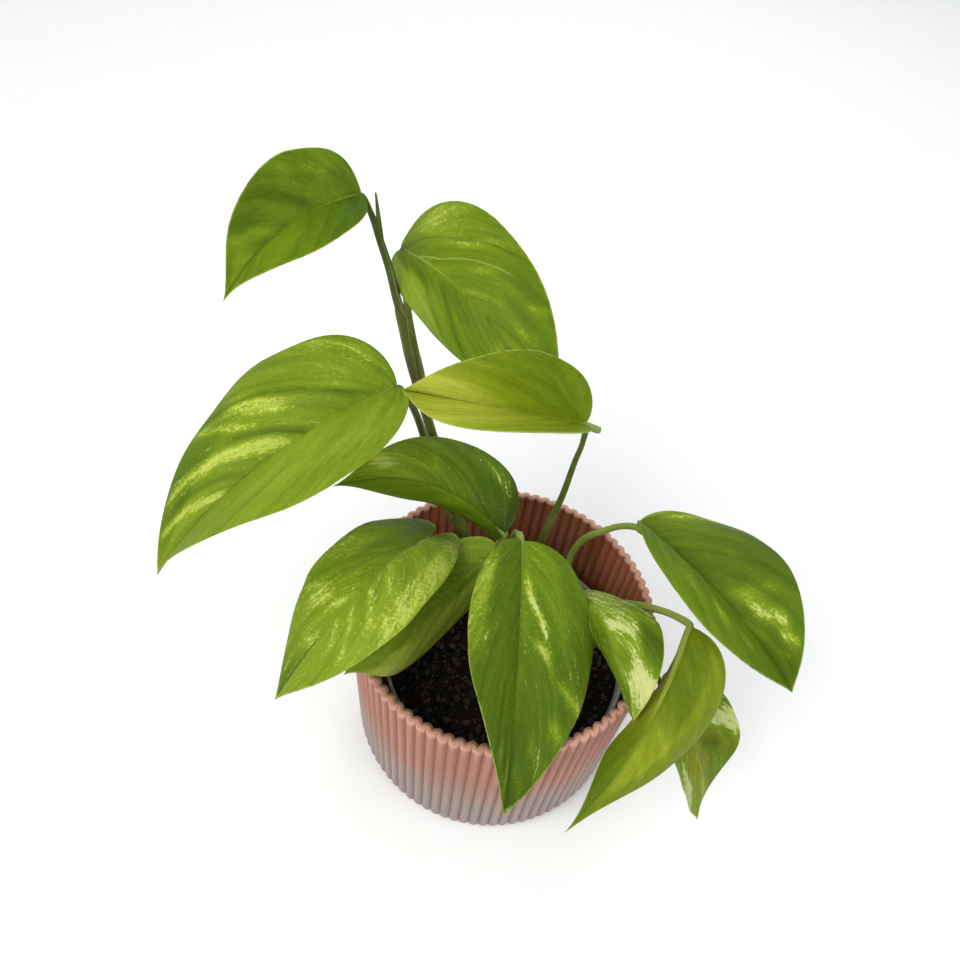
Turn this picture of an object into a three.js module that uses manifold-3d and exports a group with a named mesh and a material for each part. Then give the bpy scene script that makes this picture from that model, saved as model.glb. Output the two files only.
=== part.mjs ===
// Potted pothos: a ribbed pot, the thin grower's pot that stands in it, potting soil,
// four stems in plain holes in the soil, and twelve leaves with their stalks.
// Millimetres, +Z up. The origin is the middle of the ribbed pot's underside.
import * as THREE from "three";
import { mergeVertices } from "three/addons/utils/BufferGeometryUtils.js";
import Module from "manifold-3d";

const wasm = await Module();
wasm.setup();

// ---- driving dimensions -------------------------------------------------------------

const clearance = 0.3; // gap between pieces that fit round each other

const pot = {
  rimRadius: 60, baseRadius: 57, height: 85, floor: 3, cornerRadius: 6,
  ribs: 84, ribDepth: 1.3, wall: 3.5, // the wall is measured from rib crest to rib crest
  ribRound: 0.75, // below 1 the ribs are fuller and the valleys between them narrower
  floorInset: 0.5, facetsPerRib: 4,
};

const growerPot = {
  centreX: 3, centreY: -4, // it stands a little to one side of the middle
  rimRadius: 49, baseRadius: 40, rimHeight: 60, wall: 1, lipWidth: 1.6, lipDepth: 3, sides: 48,
};

const soil = { surface: 55, mound: 2.5, crumb: 0.9, sides: 36, rings: 4 };

const blade = {
  thickness: 0.9, lobeRows: 4, tipRows: 7, veinSlant: 0.55,
  columns: [0, 0.1, 0.5, 1], // shares of the half width
  notch: 0.15, // how far the lobes start apart, as a share of the half width
  keel: 0.9, // how far the midrib stands out below the blade, at the joint
};

const stalk = { sides: 8, steps: 10 };

// Each stem: its middle line from the bottom of its hole upwards, and its radius there and on top.
const stems = {
  stem_back: {
    line: [[-13, 25, 36], [-15, 28, 56], [-20, 32, 85], [-25, 37, 96], [-38, 50, 127], [-49, 60, 155],
      [-52, 61, 171], [-53, 62, 176]],
    foot: 2.6, top: 1.5, joints: [0.33, 0.95],
  },
  stem_middle: {
    line: [[4, 13, 36], [3, 15, 56], [2, 17, 75], [0, 18, 98]],
    foot: 2.6, top: 2.1, joints: [0.45, 0.75],
  },
  stem_right: {
    line: [[24, 6, 36], [25, 6, 56], [29, 6, 68], [34, 4, 80]],
    foot: 2.4, top: 2, joints: [0.7, 0.95],
  },
  stem_left: {
    line: [[-33, 8, 36], [-34, 9, 56], [-37, 12, 66], [-40, 15, 78]],
    foot: 2.2, top: 1.9, joints: [0.6],
  },
};

// Each leaf: the joint where the stalk meets the blade, the tip, and the blade's form between them.
// bow and sweep: how far the midrib's middle stands off the straight line, upwards and to the right.
// roll: the blade's turn about that line, right side down; twist: the further turn towards the tip.
// right, left: half widths. lift: each half's angle at the midrib; curl: its change towards the edge.
// lobe: how far the base reaches back, or one half of it; widest: the widest place; point: how slim
// the tip is.
// stalk: the middle line of the leaf stalk from its stem up to the joint; foot and top are its radii.
// spur: a short outgrowth at the joint, a bud's spike or a knob.
const leaves = {
  leaf_01: {
    stem: "stem_back", joint: [-68, 71, 214], tip: [-107, 35, 191], bow: 8, sweep: 3, roll: -21.5, twist: 2,
    right: { width: 20.5, lift: 41, curl: 19 }, left: { width: 17.5, lift: 21, curl: 3 },
    lobe: -0.5, widest: 0.32, point: 0.19, wave: 0.5,
    stalk: [[-52, 61, 173], [-54, 62, 178], [-58, 68, 187], [-62, 71, 197], [-65, 72, 206]],
    foot: 1.55, top: 1,
    spur: { line: [[-61.5, 71, 195], [-62.5, 71.5, 206], [-63, 69.5, 216]], foot: 1.3, top: 0.3 },
  },
  leaf_02: {
    stem: "stem_back", joint: [-56, 80, 187.5], tip: [9, 18, 168.5], bow: 20, sweep: -3, roll: 26, twist: -12,
    right: { width: 20.5, lift: -14, curl: -70 }, left: { width: 25.5, lift: 13, curl: 47 },
    lobe: 2.5, widest: 0.37, point: 0.12, wave: 0.5,
    stalk: [[-41, 53, 134], [-44, 60, 146], [-48, 68, 153], [-51, 73, 162], [-53, 77, 170], [-56, 80, 178]],
    foot: 1.55, top: 1.05,
  },
  leaf_03: {
    stem: "stem_back", joint: [-50, 39, 159], tip: [-128, -17, 103],
    bow: 11.5, sweep: 2, roll: -5.5, twist: 22.5,
    right: { width: 39, lift: 38.5, curl: -70 }, left: { width: 36, lift: 31, curl: -28 },
    lobe: 1.5, widest: 0.32, point: 0.06, wave: 0.7,
    stalk: [[-21, 33, 87], [-28, 36, 96], [-35, 44, 108], [-41, 52, 120], [-44, 54, 128], [-47, 51, 140],
      [-49, 45, 151]],
    foot: 1.5, top: 1.15,
  },
  leaf_04: {
    stem: "stem_middle", joint: [13, 3, 190], tip: [-45, 13, 184], bow: 6, sweep: -3.5, roll: -14, twist: -40,
    right: { width: 20.5, lift: 52, curl: -14 }, left: { width: 20.5, lift: 48.5, curl: 15 },
    lobe: 1, widest: 0.3, point: 0.11, wave: 0.4,
    stalk: [[2, 17, 74], [6, 20, 85], [10, 23, 98], [11.5, 22, 110], [14, 20.5, 132], [14.5, 14, 160],
      [14.5, 8, 177]],
    foot: 1.7, top: 0.8,
    spur: { line: [[12.5, 3, 189.5], [17, 3, 188]], foot: 1.3, top: 1.1 },
  },
  leaf_05: {
    stem: "stem_middle", joint: [-5, 10, 119], tip: [-70, 17, 125], bow: -9, sweep: 8, roll: -60, twist: 16,
    right: { width: 22, lift: -2, curl: -80 }, left: { width: 18, lift: -17.5, curl: -72 },
    lobe: 0, widest: 0.35, point: 0.17, wave: 0.4,
    stalk: [[0, 18, 92], [-5, 17, 98], [-6, 14, 108]], foot: 1.4, top: 1.05,
  },
  leaf_06: {
    stem: "stem_left", joint: [-36, 1, 119], tip: [-73, -62, 110],
    bow: 19, sweep: -9.5, roll: 14.5, twist: 27,
    right: { width: 25, lift: 9, curl: -14 }, left: { width: 20.5, lift: 0, curl: -45.5 },
    lobe: 25.5, notch: 0.02, widest: 0.47, point: 0.07, wave: 0.3,
    stalk: [[-39, 14, 74], [-43, 15, 88], [-42, 9, 104]], foot: 1.4, top: 1.05,
  },
  leaf_07: {
    stem: "stem_middle", joint: [-6, 20, 94], tip: [-55, -42, 94], bow: 2, sweep: 0, roll: -25.5, twist: 15.5,
    right: { width: 22, lift: -6, curl: -48.5 }, left: { width: 17, lift: -17.5, curl: -60.5 },
    lobe: 3.5, widest: 0.59, point: 0.12, wave: 0.4,
    stalk: [[2, 17, 72], [-3, 20, 80], [-6, 22, 89]], foot: 1.3, top: 1,
  },
  leaf_08: {
    stem: "stem_middle", joint: [2, 9, 118], tip: [6, -81, 88], bow: 0.5, sweep: -1.5, roll: -26, twist: -12,
    right: { width: 26.5, lift: 33, curl: -42 }, left: { width: 30, lift: 24, curl: -25 },
    lobe: 0.5, widest: 0.38, point: 0.03, wave: 0.6,
    stalk: [[0, 18, 96], [-1, 18, 106], [0, 16, 113], [1, 12, 117]], foot: 1.5, top: 1.15,
  },
  leaf_09: {
    stem: "stem_right", joint: [27.5, 4, 97], tip: [48.5, -44.5, 94],
    bow: 12.5, sweep: -2, roll: 22, twist: 47,
    right: { width: 17, lift: -26, curl: -87 }, left: { width: 20.5, lift: -17, curl: -41 },
    lobe: 2, widest: 0.49, point: 0.04, wave: 0.3,
    stalk: [[34, 4, 79], [33, 3, 84], [30, 4, 90]], foot: 1.3, top: 0.9,
  },
  leaf_10: {
    stem: "stem_right", joint: [48, 34, 105], tip: [111, -20, 85], bow: 12.5, sweep: 9, roll: -18, twist: 55,
    right: { width: 24.5, lift: 61, curl: -57, lobe: -3 }, left: { width: 34, lift: 30.5, curl: -74 },
    lobe: 1.5, widest: 0.36, point: 0.09, wave: 0.6,
    stalk: [[28, 6, 67], [26, 18, 72], [25, 30, 82], [29, 33, 92], [35, 33, 99], [42, 34, 103]],
    foot: 1.5, top: 1.25,
  },
  leaf_11: {
    stem: "stem_right", joint: [67, -11, 107], tip: [29, -79, 73], bow: 1, sweep: -7, roll: 33, twist: -70.5,
    right: { width: 18.5, lift: -40, curl: -64 }, left: { width: 22.5, lift: -6.5, curl: -81.5 },
    lobe: -0.8, widest: 0.32, point: 0.27, wave: 0.5,
    stalk: [[30, 6, 69], [36, 7, 81], [44, 4, 93], [54, -1, 100.5], [62, -6, 105]], foot: 1.4, top: 1.25,
  },
  leaf_12: {
    stem: "stem_right", joint: [63.5, -24.5, 80.5], tip: [85, -56, 41],
    bow: 5.5, sweep: -3, roll: -21, twist: -14.5,
    right: { width: 18.5, lift: -21, curl: 54 }, left: { width: 24.5, lift: -17, curl: 72 },
    lobe: 5, widest: 0.49, point: 0.07, wave: 0.4,
    stalk: [[27, 6, 64], [33, 2, 67], [39, -4, 73], [44, -10, 79], [51, -17, 87], [58, -22, 89]],
    foot: 1.25, top: 0.9,
  },
};

const colours = {
  pot: { color: 0xc78a78, roughness: 0.55, metalness: 0 },
  growerPot: { color: 0xb9bcb8, roughness: 0.35, metalness: 0 },
  soil: { color: 0x17120f, roughness: 0.95, metalness: 0 },
  stem: { color: 0x55702a, roughness: 0.5, metalness: 0 },
  leaf: { color: 0x5f8a1f, roughness: 0.38, metalness: 0 },
};

// ---- solids ---------------------------------------------------------------------------

const point = (coords) => new THREE.Vector3(...coords);
const lerp = THREE.MathUtils.lerp;
const radians = THREE.MathUtils.degToRad;

function geometryOf(triangles) {
  const geometry = new THREE.BufferGeometry().setFromPoints(triangles);
  return mergeVertices(geometry, 1e-4);
}

function solidOf(geometry) {
  const vertProperties = Float32Array.from(geometry.attributes.position.array);
  const triVerts = Uint32Array.from(geometry.index.array);
  return new wasm.Manifold(new wasm.Mesh({ numProp: 3, vertProperties, triVerts }));
}

function geometryFrom(solid) {
  const mesh = solid.getMesh();
  const geometry = new THREE.BufferGeometry();
  geometry.setAttribute("position", new THREE.BufferAttribute(Float32Array.from(mesh.vertProperties), 3));
  geometry.setIndex(new THREE.BufferAttribute(Uint32Array.from(mesh.triVerts), 1));
  geometry.computeVertexNormals();
  return geometry;
}

// A closed skin over a row of rings of points; the first and last ring are capped.
function skin(rings) {
  const triangles = [];
  const count = rings[0].length;
  const capCentre = (ring) => ring.reduce((sum, p) => sum.add(p), new THREE.Vector3()).divideScalar(count);
  const first = rings[0];
  const last = rings[rings.length - 1];
  const firstCentre = capCentre(first);
  const lastCentre = capCentre(last);
  for (let j = 0; j < count; j++) {
    const next = (j + 1) % count;
    triangles.push(firstCentre, first[next], first[j]);
    for (let i = 0; i + 1 < rings.length; i++) {
      const [low, high] = [rings[i], rings[i + 1]];
      triangles.push(low[j], low[next], high[next], low[j], high[next], high[j]);
    }
    triangles.push(lastCentre, last[j], last[next]);
  }
  return geometryOf(triangles);
}

function ring(sides, radiusAt, height, centreX = 0, centreY = 0) {
  return Array.from({ length: sides }, (_, j) => {
    const angle = (2 * Math.PI * j) / sides;
    const radius = radiusAt(j / sides, angle);
    return new THREE.Vector3(centreX + radius * Math.cos(angle), centreY + radius * Math.sin(angle), height);
  });
}

// ---- ribbed pot -------------------------------------------------------------------------

function ribbedPot() {
  const sides = pot.ribs * pot.facetsPerRib;
  const crest = (turn) => Math.abs(Math.cos(Math.PI * pot.ribs * turn)) ** pot.ribRound;
  const hollow = (turn) => Math.abs(Math.sin(Math.PI * pot.ribs * turn)) ** pot.ribRound;
  const outer = (radius, depth) => (turn) => radius - depth * (1 - crest(turn));
  const inner = (radius, depth) => (turn) => radius + depth * (1 - hollow(turn));
  const outerRadius = (z) => lerp(pot.baseRadius, pot.rimRadius, z / pot.height);

  const rings = [];
  for (const angle of [0, 45, 90]) { // the rounded foot, where the ribs run out
    const z = pot.cornerRadius * (1 - Math.cos(radians(angle)));
    const radius = outerRadius(z) - pot.cornerRadius * (1 - Math.sin(radians(angle)));
    rings.push(ring(sides, outer(radius, pot.ribDepth * (angle / 90)), z));
  }
  rings.push(ring(sides, outer(pot.rimRadius, pot.ribDepth), pot.height));
  rings.push(ring(sides, inner(pot.rimRadius - pot.wall, pot.ribDepth), pot.height));
  rings.push(ring(sides, inner(outerRadius(pot.floor) - pot.wall - pot.floorInset, 0), pot.floor));
  return skin(rings);
}

// ---- grower's pot -------------------------------------------------------------------------

function growerPotRadius(z) {
  return lerp(growerPot.baseRadius, growerPot.rimRadius, (z - pot.floor) / (growerPot.rimHeight - pot.floor));
}

function thinPot() {
  const { wall, lipWidth, lipDepth, rimHeight, sides, centreX, centreY } = growerPot;
  const at = (radius, z) => ring(sides, () => radius, z, centreX, centreY);
  const lipBottom = rimHeight - lipDepth;
  return skin([
    at(growerPotRadius(pot.floor), pot.floor),
    at(growerPotRadius(lipBottom), lipBottom),
    at(growerPotRadius(lipBottom) + lipWidth - wall, lipBottom + 0.6),
    at(growerPotRadius(rimHeight) + lipWidth - wall, rimHeight),
    at(growerPotRadius(rimHeight) - wall, rimHeight),
    at(growerPotRadius(pot.floor + wall) - wall, pot.floor + wall),
  ]);
}

// ---- soil -----------------------------------------------------------------------------------

function soilBody() {
  const { centreX, centreY, wall } = growerPot;
  const bottom = pot.floor + wall;
  const inside = (z) => growerPotRadius(z) - wall - clearance;
  const top = (radius, angle) => {
    const reach = radius / inside(soil.surface);
    const crumbs = Math.sin(0.31 * radius + 3 * angle) + Math.sin(0.53 * radius - 7 * angle + 1.3);
    return soil.surface + soil.mound * (1 - reach * reach) + soil.crumb * 0.5 * crumbs * reach;
  };
  const rings = [ring(soil.sides, () => inside(bottom), bottom, centreX, centreY)];
  rings.push(ring(soil.sides, () => inside(soil.surface - 3), soil.surface - 3, centreX, centreY));
  for (let i = 0; i < soil.rings; i++) {
    const radius = inside(soil.surface) * (1 - i / soil.rings);
    const crumbRing = ring(soil.sides, () => radius, 0, centreX, centreY);
    crumbRing.forEach((p, j) => p.setZ(top(radius, (2 * Math.PI * j) / soil.sides)));
    rings.push(crumbRing);
  }
  return skin(rings);
}

// ---- stems and stalks -------------------------------------------------------------------------

// A round tube along a smooth line, with a swelling at each joint given as a share of its length.
function tube(line, radiusAt, steps) {
  const curve = new THREE.CatmullRomCurve3(line, false, "centripetal");
  const frames = curve.computeFrenetFrames(steps, false);
  const rings = [];
  for (let i = 0; i <= steps; i++) {
    const middle = curve.getPointAt(i / steps);
    const radius = radiusAt(i / steps);
    rings.push(Array.from({ length: stalk.sides }, (_, j) => {
      const angle = (2 * Math.PI * j) / stalk.sides;
      const across = frames.normals[i].clone().multiplyScalar(radius * Math.cos(angle));
      return across.addScaledVector(frames.binormals[i], radius * Math.sin(angle)).add(middle);
    }));
  }
  return skin(rings);
}

function stemTube({ line, foot, top, joints }, extra = 0) {
  const points = line.map(point);
  if (extra > 0) {
    const down = points[0].clone().sub(points[1]).normalize();
    points[0].addScaledVector(down, extra);
    const above = points[points.length - 1].clone().sub(points[points.length - 2]).normalize();
    points[points.length - 1].addScaledVector(above, extra);
  }
  const swelling = (t) => joints.reduce((sum, at) => sum + 0.5 * Math.exp(-(((t - at) / 0.05) ** 2)), 0);
  return tube(points, (t) => lerp(foot, top, t) + swelling(t) + extra, 16);
}

function stalkTube(leaf, axes) {
  const end = [0, 2].map((a) => bladePoint(leaf, axes, a, 0, -0.7 * blade.thickness));
  return tube([...leaf.stalk.map(point), ...end], (t) => lerp(leaf.foot, leaf.top, t), stalk.steps);
}

// A short outgrowth of a stalk: a bud's spike, or the knob where the stalk turns into the blade.
function spurTube({ line, foot, top }) {
  return tube(line.map(point), (t) => lerp(foot, top, t), 4);
}

// ---- leaf blades --------------------------------------------------------------------------------

function bladeAxes(leaf) {
  const joint = point(leaf.joint);
  const along = point(leaf.tip).sub(joint);
  const length = along.length();
  along.normalize();
  const level = new THREE.Vector3().crossVectors(along, new THREE.Vector3(0, 0, 1)).normalize();
  const side = level.applyAxisAngle(along, radians(leaf.roll));
  const up = new THREE.Vector3().crossVectors(side, along);
  return { joint, along, side, up, length };
}

// Half of a flat blade: rows that follow the side veins, each from the midrib to the edge.
function veinRows(leaf, half, length) {
  const { width, lobe = leaf.lobe } = half;
  const widest = leaf.widest * length;
  const bend = (...corners) => new THREE.CubicBezierCurve(...corners.map((c) => new THREE.Vector2(...c)));
  const notch = (leaf.notch ?? blade.notch) * width;
  const lobeEdge = bend([0, 0], [-1.6 * lobe, notch], [-0.9 * lobe, 0.85 * width], [widest, width]);
  const tipEdge = bend([widest, width], [widest + 0.3 * length, width],
    [length * (1 - leaf.point), 0.13 * width], [length, 0]);
  const meanWidth = (leaf.right.width + leaf.left.width) / 2;
  const lastLobeVein = Math.max(0.06 * length, widest - blade.veinSlant * meanWidth);
  const rows = [];
  for (let i = 1; i <= blade.lobeRows; i++) {
    const start = lastLobeVein * ((i - 1) / (blade.lobeRows - 1)) ** 3;
    rows.push({ start, edge: lobeEdge.getPoint(i / blade.lobeRows) });
  }
  for (let i = 1; i <= blade.tipRows; i++) {
    const share = i / blade.tipRows;
    rows.push({ start: lerp(lastLobeVein, length, share), edge: tipEdge.getPoint(share) });
  }
  return rows;
}

// Where a point of the flat blade comes to lie: a is along the midrib, b to the right of it,
// and height is above the middle of the blade's thickness.
function bladePoint(leaf, axes, a, b, height) {
  const { joint, along, side, up, length } = axes;
  const t = THREE.MathUtils.clamp(a / length, 0, 1);
  const offset = up.clone().multiplyScalar(leaf.bow).addScaledVector(side, leaf.sweep);
  const arch = 4 * t * (1 - t) + (4 * Math.min(a, 0)) / length;
  const middle = joint.clone().addScaledVector(along, a).addScaledVector(offset, arch);
  const forward = along.clone().addScaledVector(offset, (4 * (1 - 2 * t)) / length).normalize();
  const across = side.clone().addScaledVector(forward, -side.dot(forward)).normalize();
  across.applyAxisAngle(forward, radians(leaf.twist) * t);
  const normal = new THREE.Vector3().crossVectors(across, forward);

  const half = b < 0 ? leaf.left : leaf.right;
  const reach = Math.abs(b) / half.width;
  const angle = radians(half.lift + (half.curl * reach) / 2);
  const ripple = leaf.wave * reach * reach * Math.sin(6 * Math.PI * t + (b < 0 ? 2.4 : 0.6));
  middle.addScaledVector(across, b * Math.cos(angle));
  middle.addScaledVector(normal, Math.abs(b) * Math.sin(angle) + ripple);

  const slope = radians(half.lift + half.curl * reach) * Math.min(1, reach / 0.3);
  middle.addScaledVector(normal, height * Math.cos(slope));
  return middle.addScaledVector(across, -Math.sign(b) * height * Math.sin(slope));
}

// Both faces are split into triangles alike, so that a curved blade keeps its thickness.
function bladeGeometry(leaf, axes) {
  const triangles = [];
  const same = (p, q) => p.distanceToSquared(q) < 1e-8;
  const face = (p, q, r) => {
    if (!same(p, q) && !same(q, r) && !same(r, p)) triangles.push(p, q, r);
  };
  const quad = (p, q, r, s) => {
    face(p, q, r);
    face(p, r, s);
  };
  const last = blade.columns.length - 1;
  const upper = () => blade.thickness / 2;
  const lower = (a, share) => -blade.thickness / 2 - (share === 0 ? blade.keel * (1 - a / axes.length) : 0);
  for (const [sign, half] of [[1, leaf.right], [-1, leaf.left]]) {
    const rows = veinRows(leaf, half, axes.length);
    const layer = (heightAt) => rows.map(({ start, edge }) => blade.columns.map((share) => {
      const a = lerp(start, edge.x, share);
      return bladePoint(leaf, axes, a, sign * edge.y * share, heightAt(a, share));
    }));
    const [near, far] = (sign > 0 ? [upper, lower] : [lower, upper]).map(layer);
    for (let c = 0; c < last; c++) {
      quad(near[0][c], far[0][c], far[0][c + 1], near[0][c + 1]); // the edge behind the joint
      for (let r = 0; r + 1 < rows.length; r++) {
        quad(near[r][c], near[r][c + 1], near[r + 1][c + 1], near[r + 1][c]);
        quad(far[r][c], far[r + 1][c], far[r + 1][c + 1], far[r][c + 1]);
      }
    }
    for (let r = 0; r + 1 < rows.length; r++) {
      quad(near[r][last], far[r][last], far[r + 1][last], near[r + 1][last]);
    }
  }
  return geometryOf(triangles);
}

// A blade grown together with its stalk; the stalk's foot clasps its stem with the clearance.
function leafBody(leaf) {
  const axes = bladeAxes(leaf);
  let grown = solidOf(bladeGeometry(leaf, axes)).add(solidOf(stalkTube(leaf, axes)));
  if (leaf.spur) grown = grown.add(solidOf(spurTube(leaf.spur)));
  const clasped = grown.subtract(solidOf(stemTube(stems[leaf.stem], clearance)));
  const pieces = clasped.decompose().sort((p, q) => q.volume() - p.volume());
  return geometryFrom(pieces[0]);
}

// ---- assembly -------------------------------------------------------------------------------------

const group = new THREE.Group();

function place(name, geometry, finish) {
  const mesh = new THREE.Mesh(geometry, new THREE.MeshStandardMaterial(finish));
  mesh.name = name;
  group.add(mesh);
}

place("outer_pot", ribbedPot(), colours.pot);
place("grower_pot", thinPot(), colours.growerPot);

let soilSolid = solidOf(soilBody());
for (const [name, stem] of Object.entries(stems)) {
  soilSolid = soilSolid.subtract(solidOf(stemTube(stem, clearance)));
  place(name, stemTube(stem), colours.stem);
}
place("soil", geometryFrom(soilSolid), colours.soil);

for (const [name, leaf] of Object.entries(leaves)) {
  place(name, leafBody(leaf), colours.leaf);
}

export default group;
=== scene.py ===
import math

import bmesh
import bpy
import numpy as np
from mathutils import Matrix, Vector


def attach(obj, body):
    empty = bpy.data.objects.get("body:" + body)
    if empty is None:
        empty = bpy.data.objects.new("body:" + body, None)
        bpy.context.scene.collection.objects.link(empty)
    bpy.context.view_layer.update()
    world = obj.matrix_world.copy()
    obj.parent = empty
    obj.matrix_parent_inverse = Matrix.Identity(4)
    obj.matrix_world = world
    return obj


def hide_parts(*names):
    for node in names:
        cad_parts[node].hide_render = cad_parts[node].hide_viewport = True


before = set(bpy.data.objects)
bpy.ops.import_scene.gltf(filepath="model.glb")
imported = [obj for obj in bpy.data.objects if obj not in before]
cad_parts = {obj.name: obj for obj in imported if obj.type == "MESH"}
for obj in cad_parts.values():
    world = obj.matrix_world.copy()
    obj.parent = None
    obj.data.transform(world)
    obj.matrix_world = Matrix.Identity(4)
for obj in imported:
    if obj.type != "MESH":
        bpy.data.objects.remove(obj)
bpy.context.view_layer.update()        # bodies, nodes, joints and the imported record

# Potted pothos: the finish of the ribbed pot, the inner pot, the soil, the stems and the leaves.
# Lengths are in millimetres, in the frame's own axes, and become metres when a mesh is made. The camera,
# the floor and the lights are given in metres, and so are the scales and distances in the materials.

mm = 0.001
scene = bpy.context.scene


# a few small tools for meshes and nodes

def unit(v):
    return v / np.linalg.norm(v, axis=-1, keepdims=True)


def smoothstep(low, high, x):
    t = np.clip((x - low) / (high - low), 0, 1)
    return t * t * (3 - 2 * t)


def joinShapes(shapes):        # several closed skins as one list of points and faces
    joined = {"points": np.vstack([s["points"] for s in shapes]), "faces": [], "skin": []}
    for key in ("map", "tone", "line"):
        joined[key] = np.vstack([s[key] for s in shapes])
    start = 0
    for shape in shapes:
        joined["faces"] += [tuple(i + start for i in face) for face in shape["faces"]]
        joined["skin"] += shape["skin"]
        start += len(shape["points"])
    return joined


def makePiece(name, shape, materials, nodes=(), smooth=True):
    mesh = bpy.data.meshes.new(name)
    mesh.from_pydata([tuple(p) for p in shape["points"] * mm], [], shape["faces"])
    for material in materials:
        mesh.materials.append(material)
    mesh.polygons.foreach_set("material_index", shape["skin"])
    mesh.polygons.foreach_set("use_smooth", [smooth] * len(mesh.polygons))
    for key in ("map", "tone", "line"):        # the materials read skinMap, skinTone and skinLine
        layer = mesh.attributes.new("skin" + key.capitalize(), "FLOAT_VECTOR", "POINT")
        layer.data.foreach_set("vector", np.asarray(shape[key], np.float32).ravel())
    mesh.update()
    piece = bpy.data.objects.new(name, mesh)
    scene.collection.objects.link(piece)
    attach(piece, "root")
    if nodes:
        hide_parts(*nodes)
    return piece


def ringShape(rings, maps, tones=None, skin=0):        # a closed skin over rings of points, with capped ends
    count = len(rings[0])
    points = np.vstack([*rings, rings[0].mean(0), rings[-1].mean(0)])
    faces = []
    for i in range(len(rings) - 1):
        low, high = i * count, (i + 1) * count
        for j in range(count):
            k = (j + 1) % count
            faces.append((low + j, low + k, high + k, high + j))
    bottom, top, last = len(points) - 2, len(points) - 1, (len(rings) - 1) * count
    for j in range(count):
        k = (j + 1) % count
        faces.append((bottom, k, j))
        faces.append((top, last + j, last + k))
    maps = np.vstack([*maps, maps[0].mean(0), maps[-1].mean(0)])
    tones = np.zeros_like(points) if tones is None else np.vstack([*tones, tones[0][0], tones[-1][0]])
    return {"points": points, "faces": faces, "skin": [skin] * len(faces),
            "map": maps, "tone": tones, "line": np.zeros_like(points)}


def rgb(red, green, blue):        # a colour as seen on a screen, 0 to 255, made linear
    def linear(value):
        value /= 255
        return value / 12.92 if value <= 0.04045 else ((value + 0.055) / 1.055) ** 2.4
    return (linear(red), linear(green), linear(blue), 1)


def newMaterial(name, **sockets):        # socket names with their spaces left out
    material = bpy.data.materials.new(name)
    material.use_nodes = True
    tree = material.node_tree
    shader = tree.nodes["Principled BSDF"]
    named = {socket.name.replace(" ", ""): socket for socket in shader.inputs}
    for key, value in sockets.items():
        named[key].default_value = value
    return material, tree, shader


def addNode(tree, kind, inputs=(), **settings):
    node = tree.nodes.new(kind)
    for key, value in settings.items():
        setattr(node, key, value)
    for key, value in dict(inputs).items():
        if isinstance(value, bpy.types.NodeSocket):
            tree.links.new(value, node.inputs[key])
        else:
            node.inputs[key].default_value = value
    return node


def calc(tree, operation, *values, clamp=False):
    node = addNode(tree, "ShaderNodeMath", dict(enumerate(values)), operation=operation, use_clamp=clamp)
    return node.outputs[0]


def summed(tree, start, *terms):        # start plus each value times its weight
    total = start
    for value, weight in terms:
        total = calc(tree, "MULTIPLY_ADD", value, weight, total)
    return total


def stepUp(tree, value, low, high, top=1.0):        # 0 below low, rising softly to top above high
    keys = {"Value": value, "From Min": low, "From Max": high, "To Min": 0.0, "To Max": top}
    return addNode(tree, "ShaderNodeMapRange", keys, interpolation_type="SMOOTHSTEP").outputs[0]


def blendColour(tree, share, first, second, mode="MIX"):
    node = addNode(tree, "ShaderNodeMix", data_type="RGBA", blend_type=mode)
    sockets = {"Factor": share, "A": first, "B": second}
    for socket in node.inputs:
        if socket.enabled and socket.name in sockets:
            value = sockets[socket.name]
            if isinstance(value, bpy.types.NodeSocket):
                tree.links.new(value, socket)
            else:
                socket.default_value = value
    return next(socket for socket in node.outputs if socket.enabled)


def rampColour(tree, value, stops):        # stops: place from 0 to 1, and the colour there
    node = addNode(tree, "ShaderNodeValToRGB", {"Fac": value})
    elements = node.color_ramp.elements
    elements[0].position, elements[0].color = stops[0]
    elements[1].position, elements[1].color = stops[-1]
    for position, colour in stops[1:-1]:
        elements.new(position).color = colour
    return node.outputs["Color"]


def noiseAt(tree, vector, scale, detail=3.0, rough=0.55, twist=0.0):
    keys = {"Vector": vector, "Scale": scale, "Detail": detail, "Roughness": rough, "Distortion": twist}
    return addNode(tree, "ShaderNodeTexNoise", keys).outputs["Fac"]


def readMap(tree, name):        # the three numbers that a mesh attribute holds at each point
    vector = addNode(tree, "ShaderNodeAttribute", attribute_name=name).outputs["Vector"]
    return list(addNode(tree, "ShaderNodeSeparateXYZ", {"Vector": vector}).outputs)


def joinXyz(tree, x, y, z):
    return addNode(tree, "ShaderNodeCombineXYZ", {"X": x, "Y": y, "Z": z}).outputs[0]


def placeOf(tree):        # where a point is on the object, in metres
    return addNode(tree, "ShaderNodeTexCoord").outputs["Object"]


def finishMaterial(tree, shader, colour, rough, height, distance, strength):        # height is for the bump
    tree.links.new(colour, shader.inputs["Base Color"])
    if rough is not None:
        tree.links.new(rough, shader.inputs["Roughness"])
    keys = {"Height": height, "Distance": distance, "Strength": strength}
    tree.links.new(addNode(tree, "ShaderNodeBump", keys).outputs[0], shader.inputs["Normal"])


# the camera: above and in front, turned a little, as the plant was photographed

cameraSet = {
    "place": (-0.0164, -0.1881, 0.3863),
    "right": (0.991, 0.103, 0.086),
    "up": (-0.134, 0.761, 0.634),
    "back": (0.0, -0.640, 0.768),
    "lens": 33.75, "sensor": 36,
}

cameraData = bpy.data.cameras.new("camera")
cameraData.lens = cameraSet["lens"]
cameraData.sensor_width = cameraSet["sensor"]
camera = bpy.data.objects.new("camera", cameraData)
turn = Matrix((cameraSet["right"], cameraSet["up"], cameraSet["back"])).transposed()
camera.matrix_world = Matrix.Translation(cameraSet["place"]) @ turn.to_quaternion().to_matrix().to_4x4()
scene.collection.objects.link(camera)
scene.camera = camera
scene.view_settings.view_transform = "Standard"


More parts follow.
